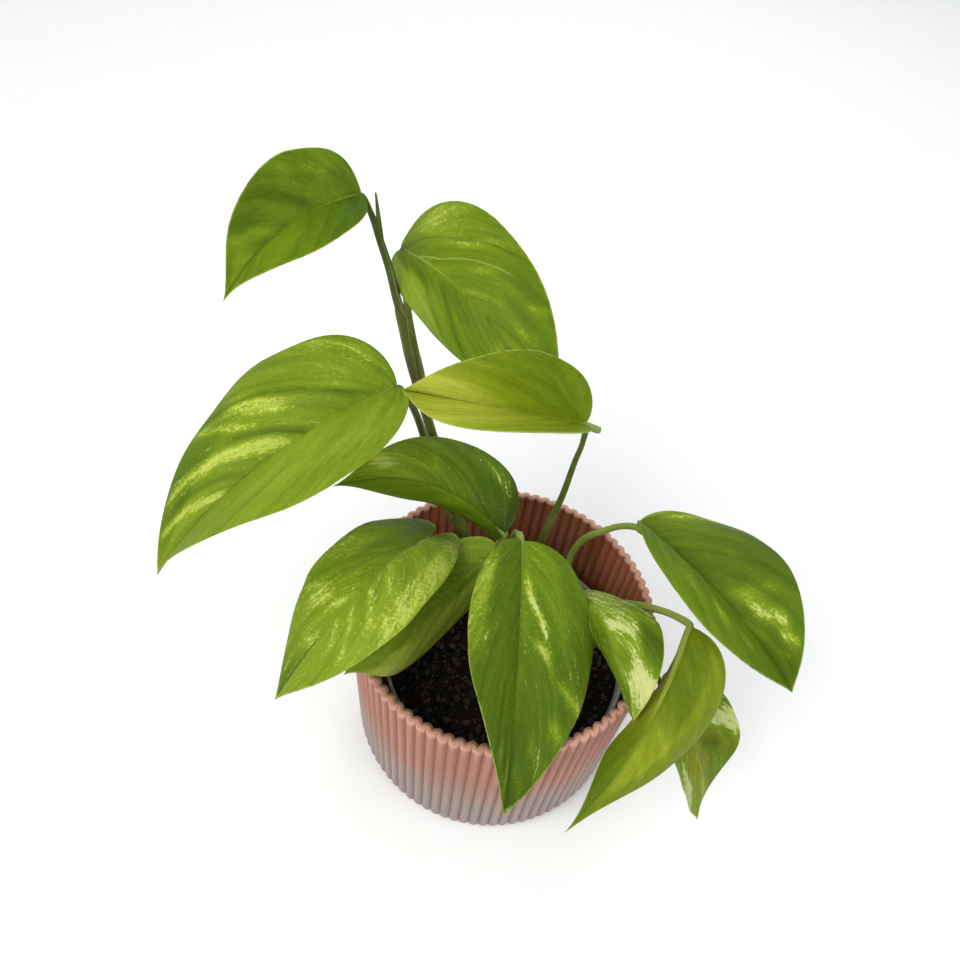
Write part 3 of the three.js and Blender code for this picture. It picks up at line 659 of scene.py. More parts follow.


# leaves. Each blade hangs between its joint, where the stalk meets it, and its tip.
# bow, sweep: how far the midrib's middle stands off the straight line, upwards and to the right.
# roll: the blade's turn about that line; twist: the further turn towards the tip.
# right, left: each half's width, its lift at the midrib and its curl towards the edge, in degrees.
# lobe, notch: how far the base reaches back, and how far the lobes start apart. rightLobe: for that half.
# widest, point: where the blade is widest, and how slim its tip is. wave: the height of the edge's waves.
# radii: the stalk's, below and on top. sheath: how far up its two wings go, as a share of its length.
# ribRun: how the stalk runs on along the midrib: how far, its heights, its way sideways, its taper.
# spur: a short outgrowth at the joint: its line, its radius below and on top, and its tone.
# pale: how pale the stalk is. tone: light and cream all over; light below 0 is dark, cream below 0 is olive.
# flecks: how many light flecks the right and the left half have. rib: how pale the midrib is at the joint
# and at the tip, where below 0 is a dark crease of painted shade. veining: how dark the side veins are,
# the dark lines along them being painted shade in their creases.
# slope, veinShift: how far the veins run forward on their way out, and where they start.
# paleVein: its half, its place and how far out it goes.
# Marks make a part of one half lighter or creamier: place in the vein count (0 at the base, 1 at the tip),
# the change of place outwards, spread, from and to as shares of the half width, light, and cream.
# One that goes from -0.2 to 1.2 covers the whole half width. The wide marks are partly painted light and
# shade:
# they lighten parts that lie in shade and darken parts turned away from the light.

leaves = {
    "leaf_01": {
        "joint": (-68, 71, 214), "tip": (-107, 35, 191), "bow": 8, "sweep": 3, "roll": -21.5, "twist": 2,
        "right": (20.5, 41, 19), "left": (17.5, 21, 3), "lobe": -0.5, "widest": 0.32, "point": 0.19,
        "wave": 0.5,
        "stalk": [(-52, 61, 173), (-54, 62, 178), (-58, 68, 187), (-62, 71, 197), (-65, 72, 206)],
        "radii": (1.55, 1),
        "spur": ([(-61.5, 71, 195), (-62.5, 71.5, 206), (-63, 69.5, 216)], 1.3, 0.3, (0, 0, 0.2)),
        "pale": 0.05, "tone": (0, -0.12), "flecks": (-0.06, -0.2), "rib": (0.4, -0.5), "veining": 0.5,
        "slope": 0.08,
        "rightMarks": [
            (0.25, 0, 0.08, 0.5, 1.2, 0.3, 0), (0.3, 0, 0.025, 0.3, 0.75, 0.35, 0.1),
            (0.35, 0, 0.03, 0.7, 1, 0.35, 0.1), (0.42, 0.08, 0.03, 0.1, 0.95, -0.6, 0),
            (0.6, 0, 0.08, 0.5, 1.2, -0.3, 0), (0.62, 0.05, 0.03, 0.15, 0.6, 0.3, 0),
            (0.7, 0, 0.04, 0.5, 0.95, 0.35, 0.1), (0.79, 0, 0.04, 0.1, 0.75, 0.4, 0.1),
            (0.85, 0, 0.12, 0, 0.6, 0.3, 0)],
        "leftMarks": [(0.2, 0, 0.2, -0.2, 1.2, -0.9, 0), (0.7, 0, 0.2, 0.1, 0.9, 0.2, 0)]},
    "leaf_02": {
        "joint": (-56, 80, 187.5), "tip": (9, 18, 168.5), "bow": 20, "sweep": -3, "roll": 26, "twist": -12,
        "right": (20.5, -14, -70), "left": (25.5, 13, 47), "lobe": 2.5, "widest": 0.37, "point": 0.12,
        "wave": 0.5,
        "stalk": [(-41, 53, 134), (-44, 60, 146), (-48, 68, 153), (-51, 73, 162), (-53, 77, 170),
                  (-56, 80, 178)],
        "radii": (1.55, 1.05),
        "pale": 0.2, "tone": (0.12, -0.2), "flecks": (-0.02, -0.02), "rib": (1.3, -0.6), "slope": 0.3,
        "veinShift": 0.038, "paleVein": ("left", 0.222, 0.8),
        "rightMarks": [
            (0.2, 0, 0.16, 0.3, 1.2, 0.9, 0.05), (0.25, 0.16, 0.016, 0.15, 0.85, -0.5, 0),
            (0.36, 0.17, 0.016, 0.1, 0.85, -0.5, 0), (0.5, 0, 0.2, 0.08, 0.4, -0.25, 0),
            (0.68, 0, 0.03, 0.15, 0.4, 0.45, 0.05)],
        "leftMarks": [
            (0.15, 0, 0.12, 0.2, 1.2, 0.5, 0), (0.22, 0.02, 0.055, 0.4, 0.95, 0.45, 0.05),
            (0.24, 0.16, 0.016, 0.42, 0.95, 0.5, 0.25), (0.38, 0.11, 0.014, 0.3, 0.62, 0.5, 0.25),
            (0.4, 0.1, 0.1, 0.1, 0.9, -0.15, 0), (0.46, 0.26, 0.014, 0.04, 0.4, 0.55, 0.3),
            (0.573, 0, 0.014, 0.7, 1, 0.55, 0.3), (0.62, 0, 0.12, 0.5, 1.2, -0.35, 0),
            (0.66, 0, 0.04, 0.35, 0.8, 0.35, 0.05)]},
    "leaf_03": {
        "joint": (-50, 39, 159), "tip": (-128, -17, 103), "bow": 11.5, "sweep": 2, "roll": -5.5,
        "twist": 22.5,
        "right": (39, 38.5, -70), "left": (36, 31, -28), "lobe": 1.5, "widest": 0.32, "point": 0.06,
        "wave": 0.7,
        "stalk": [(-21, 33, 87), (-28, 36, 96), (-35, 44, 108), (-41, 52, 120), (-44, 54, 128),
                  (-47, 51, 140), (-49, 45, 151)],
        "radii": (1.5, 1.15),
        "pale": 0.2, "tone": (0.52, 0), "flecks": (0.04, -0.14), "rib": (0.5, -0.7), "veining": 0.6,
        "slope": 0.24,
        "rightMarks": [
            (0.08, 0, 0.16, -0.2, 1.2, -0.35, 0), (0.2, 0, 0.03, 0.4, 0.8, 0.35, 0.1),
            (0.25, 0, 0.03, 0.72, 1, 0.4, 0.15), (0.26, 0.26, 0.014, 0.05, 0.95, -0.8, 0),
            (0.4, 0.08, 0.035, 0.32, 0.8, 0.8, 0.2), (0.44, 0.22, 0.012, 0, 0.5, -0.7, 0),
            (0.48, 0.07, 0.014, 0.35, 0.95, 0.6, 0.1), (0.5, 0.24, 0.03, 0, 0.95, 0.9, 0.3),
            (0.63, 0.15, 0.014, 0, 0.7, -0.5, 0), (0.68, 0, 0.2, 0.6, 1.2, -0.8, 0),
            (0.71, 0.13, 0.022, 0, 0.92, 0.85, 0.25)],
        "leftMarks": [(0.1, 0, 0.14, -0.2, 0.5, -0.4, 0), (0.4, 0, 0.25, -0.2, 0.7, 0.25, 0)]},
    "leaf_04": {
        "joint": (13, 3, 190), "tip": (-45, 13, 184), "bow": 6, "sweep": -3.5, "roll": -14, "twist": -40,
        "right": (20.5, 52, -14), "left": (20.5, 48.5, 15), "lobe": 1, "widest": 0.3, "point": 0.11,
        "wave": 0.4,
        "stalk": [(2, 17, 74), (6, 20, 85), (10, 23, 98), (11.5, 22, 110), (14, 20.5, 132), (14.5, 14, 160),
                  (14.5, 8, 177)],
        "radii": (1.7, 0.8), "sheath": 0.4,
        "spur": ([(12.5, 3, 189.5), (17.6, 3, 188)], 1.3, 1.15, (0, 0.35, 0.6)),
        "pale": 0.15, "tone": (0.25, -0.5), "flecks": (-0.2, -0.2), "rib": (0.3, -0.7), "veining": 0.3,
        "rightMarks": [
            (0.28, 0, 0.12, 0.1, 1.2, -0.3, 0), (0.6, 0.1, 0.02, 0.2, 0.8, 0.25, 0),
            (0.7, 0.1, 0.2, -0.2, 1.2, 1.45, 0.05)],
        "leftMarks": [(0.65, 0, 0.35, -0.2, 1.2, 1.1, 0.05)]},
    "leaf_05": {
        "joint": (-5, 10, 119), "tip": (-70, 17, 125), "bow": -9, "sweep": 8, "roll": -60, "twist": 16,
        "right": (22, -2, -80), "left": (18, -17.5, -72), "lobe": 0, "widest": 0.35, "point": 0.17,
        "wave": 0.4,
        "stalk": [(0, 18, 92), (-5, 17, 98), (-6, 14, 108)],
        "radii": (1.4, 1.05),
        # painted shade: the low tone and the dark marks across the base darken this leaf, which turns away
        # from the light
        "pale": 0.5, "tone": (-0.35, 0), "flecks": (-0.03, -0.06), "rib": (-0.2, -0.5),
        "rightMarks": [
            (0.12, 0, 0.16, -0.2, 1.2, -1.5, 0), (0.14, 0.19, 0.012, 0.1, 0.8, 0.5, 0.1),
            (0.245, 0.37, 0.012, 0.05, 0.6, -0.6, 0), (0.25, 0, 0.06, 0.62, 0.95, 0.6, 0.2),
            (0.5, 0, 0.03, 0.3, 0.7, 0.3, 0), (0.7, 0.04, 0.04, 0.45, 0.9, 0.9, 0.35),
            (0.72, 0, 0.22, -0.2, 1.2, 1.3, 0)],
        "leftMarks": [(0.12, 0, 0.16, -0.2, 1.2, -1.2, 0), (0.6, 0, 0.3, -0.2, 1.2, 0.7, 0)]},
    "leaf_06": {
        "joint": (-36, 1, 119), "tip": (-73, -62, 110), "bow": 19, "sweep": -9.5, "roll": 14.5, "twist": 27,
        "right": (25, 9, -14), "left": (20.5, 0, -45.5), "lobe": 25.5, "notch": -0.05, "widest": 0.47,
        "point": 0.07, "wave": 0.3,
        "stalk": [(-39, 14, 74), (-43, 15, 88), (-42, 9, 104)],
        "radii": (1.4, 1.05),
        "pale": 0.1, "tone": (0.6, 0.1), "flecks": (0.1, 0.08), "rib": (0.6, -0.3), "veining": 0.6,
        "rightMarks": [
            (0.12, 0, 0.22, -0.2, 1.2, -0.9, -0.1), (0.24, 0.03, 0.04, 0.5, 1, 0.4, 0.15),
            (0.41, 0, 0.03, 0.55, 0.95, 0.4, 0.1), (0.5, 0, 0.05, 0.35, 0.75, 0.55, 0.25),
            (0.53, 0, 0.03, 0.05, 0.3, 0.4, 0.15), (0.73, 0, 0.03, 0.1, 0.45, 0.5, 0.25),
            (0.94, 0, 0.17, -0.2, 1.2, -1.1, 0)],
        "leftMarks": [
            (0.08, 0, 0.12, 0.6, 1.2, -0.45, -0.2), (0.17, 0, 0.045, 0.62, 1.2, 0.5, 0.12),
            (0.24, 0, 0.03, 0.56, 0.98, 0.6, 0.1), (0.3, 0.08, 0.014, 0.1, 0.5, 0.45, 0.2),
            (0.31, 0, 0.035, 0.6, 0.98, 0.65, 0.2), (0.38, 0, 0.03, 0.7, 1.2, 0.5, 0.2),
            (0.4, 0.08, 0.016, 0.1, 0.7, 0.45, 0.25), (0.5, 0.08, 0.016, 0.2, 0.85, 0.45, 0.25),
            (0.6, 0.05, 0.016, 0.1, 0.6, 0.35, 0.2)]},
    "leaf_07": {
        "joint": (-6, 20, 94), "tip": (-55, -42, 94), "bow": 2, "sweep": 0, "roll": -25.5, "twist": 15.5,
        "right": (22, -6, -48.5), "left": (17, -17.5, -60.5), "lobe": 3.5, "widest": 0.59, "point": 0.12,
        "wave": 0.4,
        "stalk": [(2, 17, 72), (-3, 20, 80), (-6, 22, 89)],
        "radii": (1.3, 1),
        # painted light: this leaf's tone and its left half's wide marks are raised to make up for the shade
        # it lies in under leaf 6
        "pale": 0.4, "tone": (0.75, 0), "flecks": (0.03, 0.03), "rib": (0.55, 0.3),
        "rightMarks": [(0.5, 0, 0.1, 0.3, 0.8, 0.3, 0)],
        "leftMarks": [
            (0.28, 0, 0.16, 0.2, 1.2, 0.7, 0), (0.55, 0, 0.14, 0.45, 1, 0.8, 0.1),
            (0.62, 0, 0.14, 0.8, 1, 0.8, 0.3)]},
    "leaf_08": {
        "joint": (2, 9, 118), "tip": (6, -81, 88), "bow": 0.5, "sweep": -1.5, "roll": -26, "twist": -12,
        "right": (26.5, 33, -42), "left": (30, 24, -25), "lobe": 0.5, "widest": 0.38, "point": 0.03,
        "wave": 0.6,
        "stalk": [(0, 18, 96), (-1, 18, 106), (0, 16, 113), (1, 12, 117)],
        "radii": (1.5, 1.15),
        "pale": 0.8, "tone": (-0.05, 0), "flecks": (0.15, 0.12), "rib": (0.6, -0.1), "veining": 0.4,
        "slope": 0.3,
        "rightMarks": [
            (0.24, 0, 0.05, 0.7, 1, 0.8, 0.2), (0.34, 0, 0.06, 0.75, 1.2, 0.5, 0.15),
            (0.5, 0, 0.5, -0.2, 1.2, -0.35, 0), (0.72, 0, 0.03, 0.6, 0.95, 0.4, 0.1),
            (0.78, 0, 0.2, 0.5, 1.2, -0.4, 0), (0.85, 0, 0.05, 0.2, 0.9, 0.45, 0.2)],
        "leftMarks": [
            (0.25, 0, 0.2, -0.2, 0.6, 0.35, 0), (0.26, 0.36, 0.022, 0.08, 0.36, 1.4, 0.75),
            (0.37, 0.21, 0.014, 0.26, 0.52, 0.6, 0.2), (0.44, 0, 0.016, 0.2, 0.45, 0.6, 0.2),
            (0.49, 0, 0.02, 0.62, 1, 0.8, 0.3), (0.5, 0, 0.3, 0.1, 1, -0.4, 0),
            (0.6, 0, 0.03, 0.68, 0.98, 0.7, 0.25), (0.72, 0, 0.03, 0.5, 1, 0.4, 0.2),
            (0.84, 0, 0.05, 0.2, 0.9, 0.45, 0.2), (0.92, 0, 0.18, -0.2, 1.2, -1, 0)]},
    "leaf_09": {
        "joint": (27.5, 4, 97), "tip": (48.5, -44.5, 94), "bow": 12.5, "sweep": -2, "roll": 22, "twist": 47,
        "right": (17, -26, -87), "left": (20.5, -17, -41), "lobe": 2, "widest": 0.49, "point": 0.04,
        "wave": 0.3,
        "stalk": [(34, 4, 79), (33, 3, 84), (30, 4, 90)],
        "radii": (1.3, 0.9),
        "pale": 0.5, "tone": (0.6, 0.35), "flecks": (0.05, 0.05), "rib": (0.3, -0.3), "slope": 0.35,
        "rightMarks": [(0.5, 0, 0.4, -0.2, 1.2, -0.6, -0.2)],
        "leftMarks": [
            (0.16, 0, 0.1, 0.4, 1.2, 0, 0.05), (0.35, 0.12, 0.14, 0.66, 1.2, -1.3, -0.6),
            (0.36, 0.1, 0.05, 0.15, 0.55, 0.3, 0.4), (0.5, 0, 0.25, -0.2, 0.08, -0.9, -0.5),
            (0.6, 0.1, 0.06, 0.55, 1.2, 0.5, 0.4), (0.62, 0, 0.06, 0.12, 0.42, -0.5, -0.4),
            (0.75, 0, 0.1, 0.4, 1.2, 0.2, 0.4), (0.86, 0, 0.1, -0.2, 0.4, -0.8, -0.3)]},
    "leaf_10": {
        "joint": (48, 34, 105), "tip": (111, -20, 85), "bow": 12.5, "sweep": 9, "roll": -18, "twist": 55,
        "right": (24.5, 61, -57), "left": (34, 30.5, -74), "lobe": 1.5, "rightLobe": -3, "widest": 0.36,
        "point": 0.09, "wave": 0.6,
        "stalk": [(28, 6, 67), (26, 18, 72), (25, 30, 82), (29, 33, 92), (35, 33, 99), (42, 34, 103)],
        "radii": (1.5, 1.25),
        "pale": 0.75, "tone": (0, -0.25), "flecks": (0, -0.03), "rib": (0.6, -0.2), "veining": 0.6,
        "veinShift": -0.02,
        "rightMarks": [
            (0.37, 0, 0.05, 0.6, 0.76, 0.5, 0.15), (0.5, 0, 0.3, 0.3, 0.9, -0.15, 0),
            (0.51, 0, 0.045, 0.55, 0.72, 0.6, 0.25), (0.64, 0, 0.045, 0.55, 0.74, 0.5, 0.2),
            (0.85, 0, 0.2, -0.2, 1.2, -0.15, 0)],
        "leftMarks": [
            (0.1, 0, 0.12, 0.5, 1.2, 0.9, 0.5), (0.18, 0.06, 0.028, 0.4, 1, 0.6, 0.2),
            (0.235, 0.09, 0.016, 0.04, 0.55, 0.4, 0.05), (0.32, 0.24, 0.014, 0.15, 1, -0.3, 0),
            (0.42, 0, 0.014, 0.42, 0.52, 0.5, 0.2), (0.45, 0, 0.2, -0.2, 1.2, -0.45, 0),
            (0.56, 0, 0.022, 0.38, 0.75, 0.45, 0.15), (0.575, 0, 0.03, 0.12, 0.38, 0.5, 0.25),
            (0.61, 0, 0.03, 0.2, 0.5, 0.5, 0.2), (0.64, 0.04, 0.035, 0.26, 0.78, 0.9, 0.75),
            (0.7, 0.04, 0.024, 0.6, 0.92, 0.9, 0.65), (0.8, 0, 0.016, 0.5, 0.75, 0.5, 0.3),
            (0.88, 0, 0.12, -0.2, 1.2, -0.6, 0)]},
    "leaf_11": {
        "joint": (67, -11, 107), "tip": (29, -79, 73), "bow": 1, "sweep": -7, "roll": 33, "twist": -70.5,
        "right": (18.5, -40, -64), "left": (22.5, -6.5, -81.5), "lobe": -0.8, "widest": 0.32, "point": 0.27,
        "wave": 0.5,
        "stalk": [(30, 6, 69), (36, 7, 81), (44, 4, 93), (54, -1, 100.5), (62, -6, 105)],
        "radii": (1.4, 1.25), "ribRun": (0.4, (0.2, 0.7, 0.5, -0.3), (0, 0.5, 1.4, 1), 0.6),
        "pale": 1.1, "tone": (0.12, -0.6), "flecks": (-0.15, -0.12), "rib": (0.5, -0.2), "veining": 0.4,
        "rightMarks": [(0.38, 0, 0.14, -0.2, 1.2, 1.4, 0), (0.85, 0, 0.2, -0.2, 1.2, -0.5, 0)],
        "leftMarks": [
            (0.28, 0, 0.1, 0.1, 1, -0.1, 0), (0.3, 0, 0.3, 0.5, 1.2, 0.35, 0),
            (0.4, 0, 0.1, -0.2, 0.5, -0.35, 0), (0.5, 0.05, 0.016, 0.2, 0.8, 0.3, 0.05),
            (0.58, 0, 0.15, 0.05, 0.6, 0.5, 0.05), (0.62, 0.05, 0.016, 0.1, 0.8, 0.3, 0.05),
            (0.75, 0, 0.08, 0.1, 0.55, 0.4, 0.05)]},
    "leaf_12": {
        "joint": (63.5, -24.5, 80.5), "tip": (85, -56, 41), "bow": 5.5, "sweep": -3, "roll": -21,
        "twist": -14.5,
        "right": (18.5, -21, 54), "left": (24.5, -17, 72), "lobe": 5, "widest": 0.49, "point": 0.07,
        "wave": 0.4,
        "stalk": [(27, 6, 64), (33, 2, 67), (39, -4, 73), (44, -10, 79), (51, -17, 87), (58, -22, 89)],
        "radii": (1.25, 0.9),
        "pale": 0.5, "tone": (0.3, -1), "flecks": (0.16, 0.16), "rib": (0.6, 0.2), "veining": 0.3,
        "rightMarks": [(0.5, 0, 0.35, 0.5, 1.2, 0.1, 1.6)],
        "leftMarks": [
            (0.28, 0.03, 0.07, 0.5, 1.2, 0.2, 1.8), (0.44, 0, 0.05, 0.3, 0.7, -0.6, 0),
            (0.55, 0, 0.06, 0.5, 1, 0.2, 1), (0.55, 0, 0.16, 0.5, 1.2, -0.5, 0),
            (0.75, 0, 0.06, 0.1, 0.9, 0.3, 1)]},
}

bladeLook = {
    "thickness": 0.55, "roundFrom": 0.965, "roundOver": 0.035,        # shares of the half width
    "lobeRows": 36, "tipRows": 52, "columns": 24, "notch": 0.15,
    "lobeShare": 0.3,        # part of the vein count that belongs to the lobe
    "veins": 9, "veinSlant": 0.55, "veinBend": 1.35, "veinDepth": 0.10, "quilt": 0.16, "unevenness": 0.35,
    "veinSlope": 0.25,        # how much of the vein count a vein gains on its way to the edge
    "paleVeinWidth": 0.03, "paleVeinFade": 0.2, "paleVeinLight": 2.4,
    "groove": 0.4, "grooveWidth": 0.9, "keel": 1.0, "keelWidth": 0.8,
    "ripples": 6, "ripplePhases": (2.4, 0.6),        # the edge's waves, on the left and on the right
    "columnPower": 1.3, "lastColumns": (0.975, 0.986, 0.994, 1.0),
    "markSoftness": 0.08,
    "fleckSpread": 0.07, "fleckPull": 0.5,        # a mark narrower than this is broken into flecks
    "arcStep": 170,        # sets each leaf's streaks apart from the next one's
}
leafColours = {        # the ramp goes from deep olive to lime
    "ramp": [(0.0, rgb(44, 62, 2)), (0.25, rgb(68, 93, 4)), (0.45, rgb(90, 116, 10)),
             (0.62, rgb(114, 137, 18)), (0.8, rgb(140, 160, 34)), (1.0, rgb(178, 192, 66))],
    "cream": rgb(194, 201, 112), "rib": rgb(150, 170, 72), "crease": rgb(52, 74, 6),
    "edge": rgb(156, 168, 70), "underside": rgb(150, 160, 120),
    "olive": (1.22, 0.94, 0.75, 1),        # these three are multiplied in
    "dim": (0.9, 0.92, 1.1, 1), "bright": (1.03, 1.02, 1.35, 1),
}
stalkLook = {
    "steps": 70, "sides": 36, "groove": 0.22, "grooveWidth": 0.42, "knee": 0.15, "kneeWidth": 0.05,
    "wing": 0.35, "wingAngle": 0.72, "wingEnd": 0.72, "wingPale": 0.6, "footBrown": 0.25,
    "ribRun": (0.16, (-0.95, -1.15, -0.95, -0.8), (0, 0, 0, 0), 0.72),
}
stalkColours = {
    "dark": rgb(62, 74, 16), "pale": rgb(140, 156, 66), "brown": rgb(92, 74, 28),
    "sheath": rgb(150, 160, 96), "dusk": (0.55, 0.6, 0.5, 1),
}


def bladeAxes(leaf):
    joint, tip = Vector(leaf["joint"]), Vector(leaf["tip"])
    along = tip - joint
    length = along.length
    along.normalize()
    level = along.cross(Vector((0, 0, 1))).normalized()
    side = Matrix.Rotation(math.radians(leaf["roll"]), 3, along) @ level
    up = side.cross(along)
    return np.array(joint), np.array(along), np.array(side), np.array(up), length


def bladePoints(leaf, axes, a, b, height):        # a along the midrib, b to its right, height above
    joint, along, side, up, length = axes
    a, b, height = np.broadcast_arrays(*(np.asarray(x, float)[..., None] for x in (a, b, height)))
    t = np.clip(a / length, 0, 1)
    offset = up * leaf["bow"] + side * leaf["sweep"]
    middle = joint + along * a + offset * (4 * t * (1 - t) + 4 * np.minimum(a, 0) / length)
    forward = unit(along + offset * (4 * (1 - 2 * t) / length))
    across = unit(side - forward * (forward @ side)[..., None])
    turn = math.radians(leaf["twist"]) * t
    across = across * np.cos(turn) + np.cross(forward, across) * np.sin(turn)
    normal = np.cross(across, forward)
    width, lift, curl = (np.where(b < 0, *pair) for pair in zip(leaf["left"], leaf["right"]))
    reach = np.abs(b) / width
    angle = np.radians(lift + curl * reach / 2)
    phase = np.where(b < 0, *bladeLook["ripplePhases"])
    ripple = leaf["wave"] * reach ** 2 * np.sin(bladeLook["ripples"] * np.pi * t + phase)
    slope = np.radians(lift + curl * reach) * np.minimum(1, reach / 0.3)
    middle = middle + across * b * np.cos(angle) + normal * (np.abs(b) * np.sin(angle) + ripple)
    return middle + normal * height * np.cos(slope) - across * np.sign(b) * height * np.sin(slope)


def bezier(corners, t):
    p = np.array(corners, float)
    t = np.asarray(t, float)[:, None]
    return (1 - t) ** 3 * p[0] + 3 * t * (1 - t) ** 2 * p[1] + 3 * t ** 2 * (1 - t) * p[2] + t ** 3 * p[3]


def veinRows(leaf, sign, width, length):        # each row follows a side vein from the midrib to the edge
    widest = leaf["widest"] * length
    lobe = leaf.get("rightLobe", leaf["lobe"]) if sign > 0 else leaf["lobe"]
    notch = leaf.get("notch", bladeLook["notch"]) * width
    lobeEdge = [(0, 0), (-1.6 * lobe, notch), (-0.9 * lobe, 0.85 * width), (widest, width)]
    tipEdge = [(widest, width), (widest + 0.3 * length, width),
               (length * (1 - leaf["point"]), 0.13 * width), (length, 0)]
    meanWidth = (leaf["right"][0] + leaf["left"][0]) / 2
    lastLobeVein = max(0.06 * length, widest - bladeLook["veinSlant"] * meanWidth)
    lobeSteps = np.linspace(0, 1, bladeLook["lobeRows"] + 1)
    tipSteps = np.linspace(0, 1, bladeLook["tipRows"] + 1)[1:]
    start = np.concatenate([lastLobeVein * np.maximum(0, (4 * lobeSteps - 1) / 3) ** 3,
                            lastLobeVein + (length - lastLobeVein) * tipSteps])
    edge = np.vstack([bezier(lobeEdge, lobeSteps), bezier(tipEdge, tipSteps)])
    share = bladeLook["lobeShare"]
    count = np.concatenate([share * lobeSteps, share + (1 - share) * tipSteps])
    return start, edge, count


def columnShares():        # close together at the midrib and at the rounded edge
    first, *last = bladeLook["lastColumns"]
    inner = np.linspace(0, 1, bladeLook["columns"] - len(last)) ** bladeLook["columnPower"] * first
    return np.concatenate([inner, last])


def veinStrength(sloped, draws):        # no two side veins are alike
    veins = bladeLook["veins"]
    places = np.arange(-4, veins + 1) + draws.normal(0, 0.1)
    return np.interp(sloped * veins, places, draws.uniform(0.1, 1.5, len(places)))


def bladeRelief(sign, sloped, strength, share, t, room, phases):        # veins, puckers and slow waves
    look = bladeLook
    wave = np.cos(2 * np.pi * sloped * look["veins"])
    vein = look["quilt"] * 0.5 * (1 - wave) - look["veinDepth"] * np.maximum(0, wave) ** 6
    relief = np.sin(np.pi * share) ** 0.8 * room * strength * vein
    waves = (np.sin((3 + 2 * k) * t * 3 + 4 * sign * share * (1 + 0.5 * k) + phases[k]) for k in range(4))
    uneven = sum(waves) / 4
    return relief + look["unevenness"] * uneven * share * (1 - 0.5 * share) * room


def halfThickness(share, room):        # thinner at the tip, and round at the edge
    look = bladeLook
    turn = np.clip(share - look["roundFrom"], 0, 1) / look["roundOver"]
    rounding = np.sqrt(np.clip(1 - turn ** 2, 0, 1))
    return look["thickness"] / 2 * rounding * (0.55 + 0.45 * np.clip(room * 1.5, 0, 1))


def bladePaint(leaf, side, vein, sloped, strength, share, t, edge):        # what the materials read
    look = bladeLook
    paleSide, palePlace, paleEnd = leaf.get("paleVein", ("", 0, 0))
    pale = (side == paleSide) * np.exp(-((sloped - palePlace) / look["paleVeinWidth"]) ** 2)
    pale = pale * smoothstep(paleEnd, paleEnd - look["paleVeinFade"], share)
    veining = strength * leaf.get("veining", 1) * (1 - pale) - look["paleVeinLight"] * pale
    light, cream = (np.full_like(share, tone) for tone in leaf["tone"])
    flecks = np.full_like(share, leaf["flecks"][0 if side == "right" else 1])
    soft = look["markSoftness"]
    # a mark's light is partly the blade's own tone and partly painted light and shade
    for place, slant, spread, low, high, markLightAndShade, markCream in leaf[side + "Marks"]:
        near = np.exp(-((vein[:, None] - place - slant * share) / spread) ** 2)
        near = near * smoothstep(low - soft, low + soft, share) * smoothstep(high + soft, high - soft, share)
        light += near * markLightAndShade
        cream += near * markCream
        if spread < look["fleckSpread"]:
            flecks += near * markLightAndShade * look["fleckPull"]
    # above 0 a pale midrib, below 0 painted shade in the midrib's crease
    ribPaleAndShade = leaf["rib"][0] + (leaf["rib"][1] - leaf["rib"][0]) * np.sqrt(t)
    lines = np.stack([flecks, (1 - share) * edge[:, 1:], ribPaleAndShade], -1)
    return np.stack([light, cream, veining], -1), lines


def halfFaces(rows, columns, first, sign):        # the upper skin's faces and the lower skin's, in turn
    faces = []
    under = first + rows * columns
    for r in range(rows - 1):
        for c in range(columns - 1):
            low, high = r * columns + c, (r + 1) * columns + c
            corner = (low, low + 1, high + 1, high)
            upFace = tuple(first + i for i in corner)
            downFace = tuple(under + i for i in reversed(corner))
            faces += [upFace, downFace] if sign > 0 else [upFace[::-1], downFace[::-1]]
    return faces


def weld(shape):        # joins halves, skins and the tip where they meet
    rounded = np.round(shape["points"], 4)
    first, same = np.unique(rounded, axis=0, return_index=True, return_inverse=True)[1:]
    same = same.ravel()
    welded = {key: shape[key][first] for key in ("points", "map", "tone", "line")}
    welded.update(faces=[], skin=[])
    for face, skin in zip(shape["faces"], shape["skin"]):
        corners = []
        for i in face:
            if same[i] not in corners:
                corners.append(int(same[i]))
        if len(corners) > 2:
            welded["faces"].append(tuple(corners))
            welded["skin"].append(skin)
    return welded


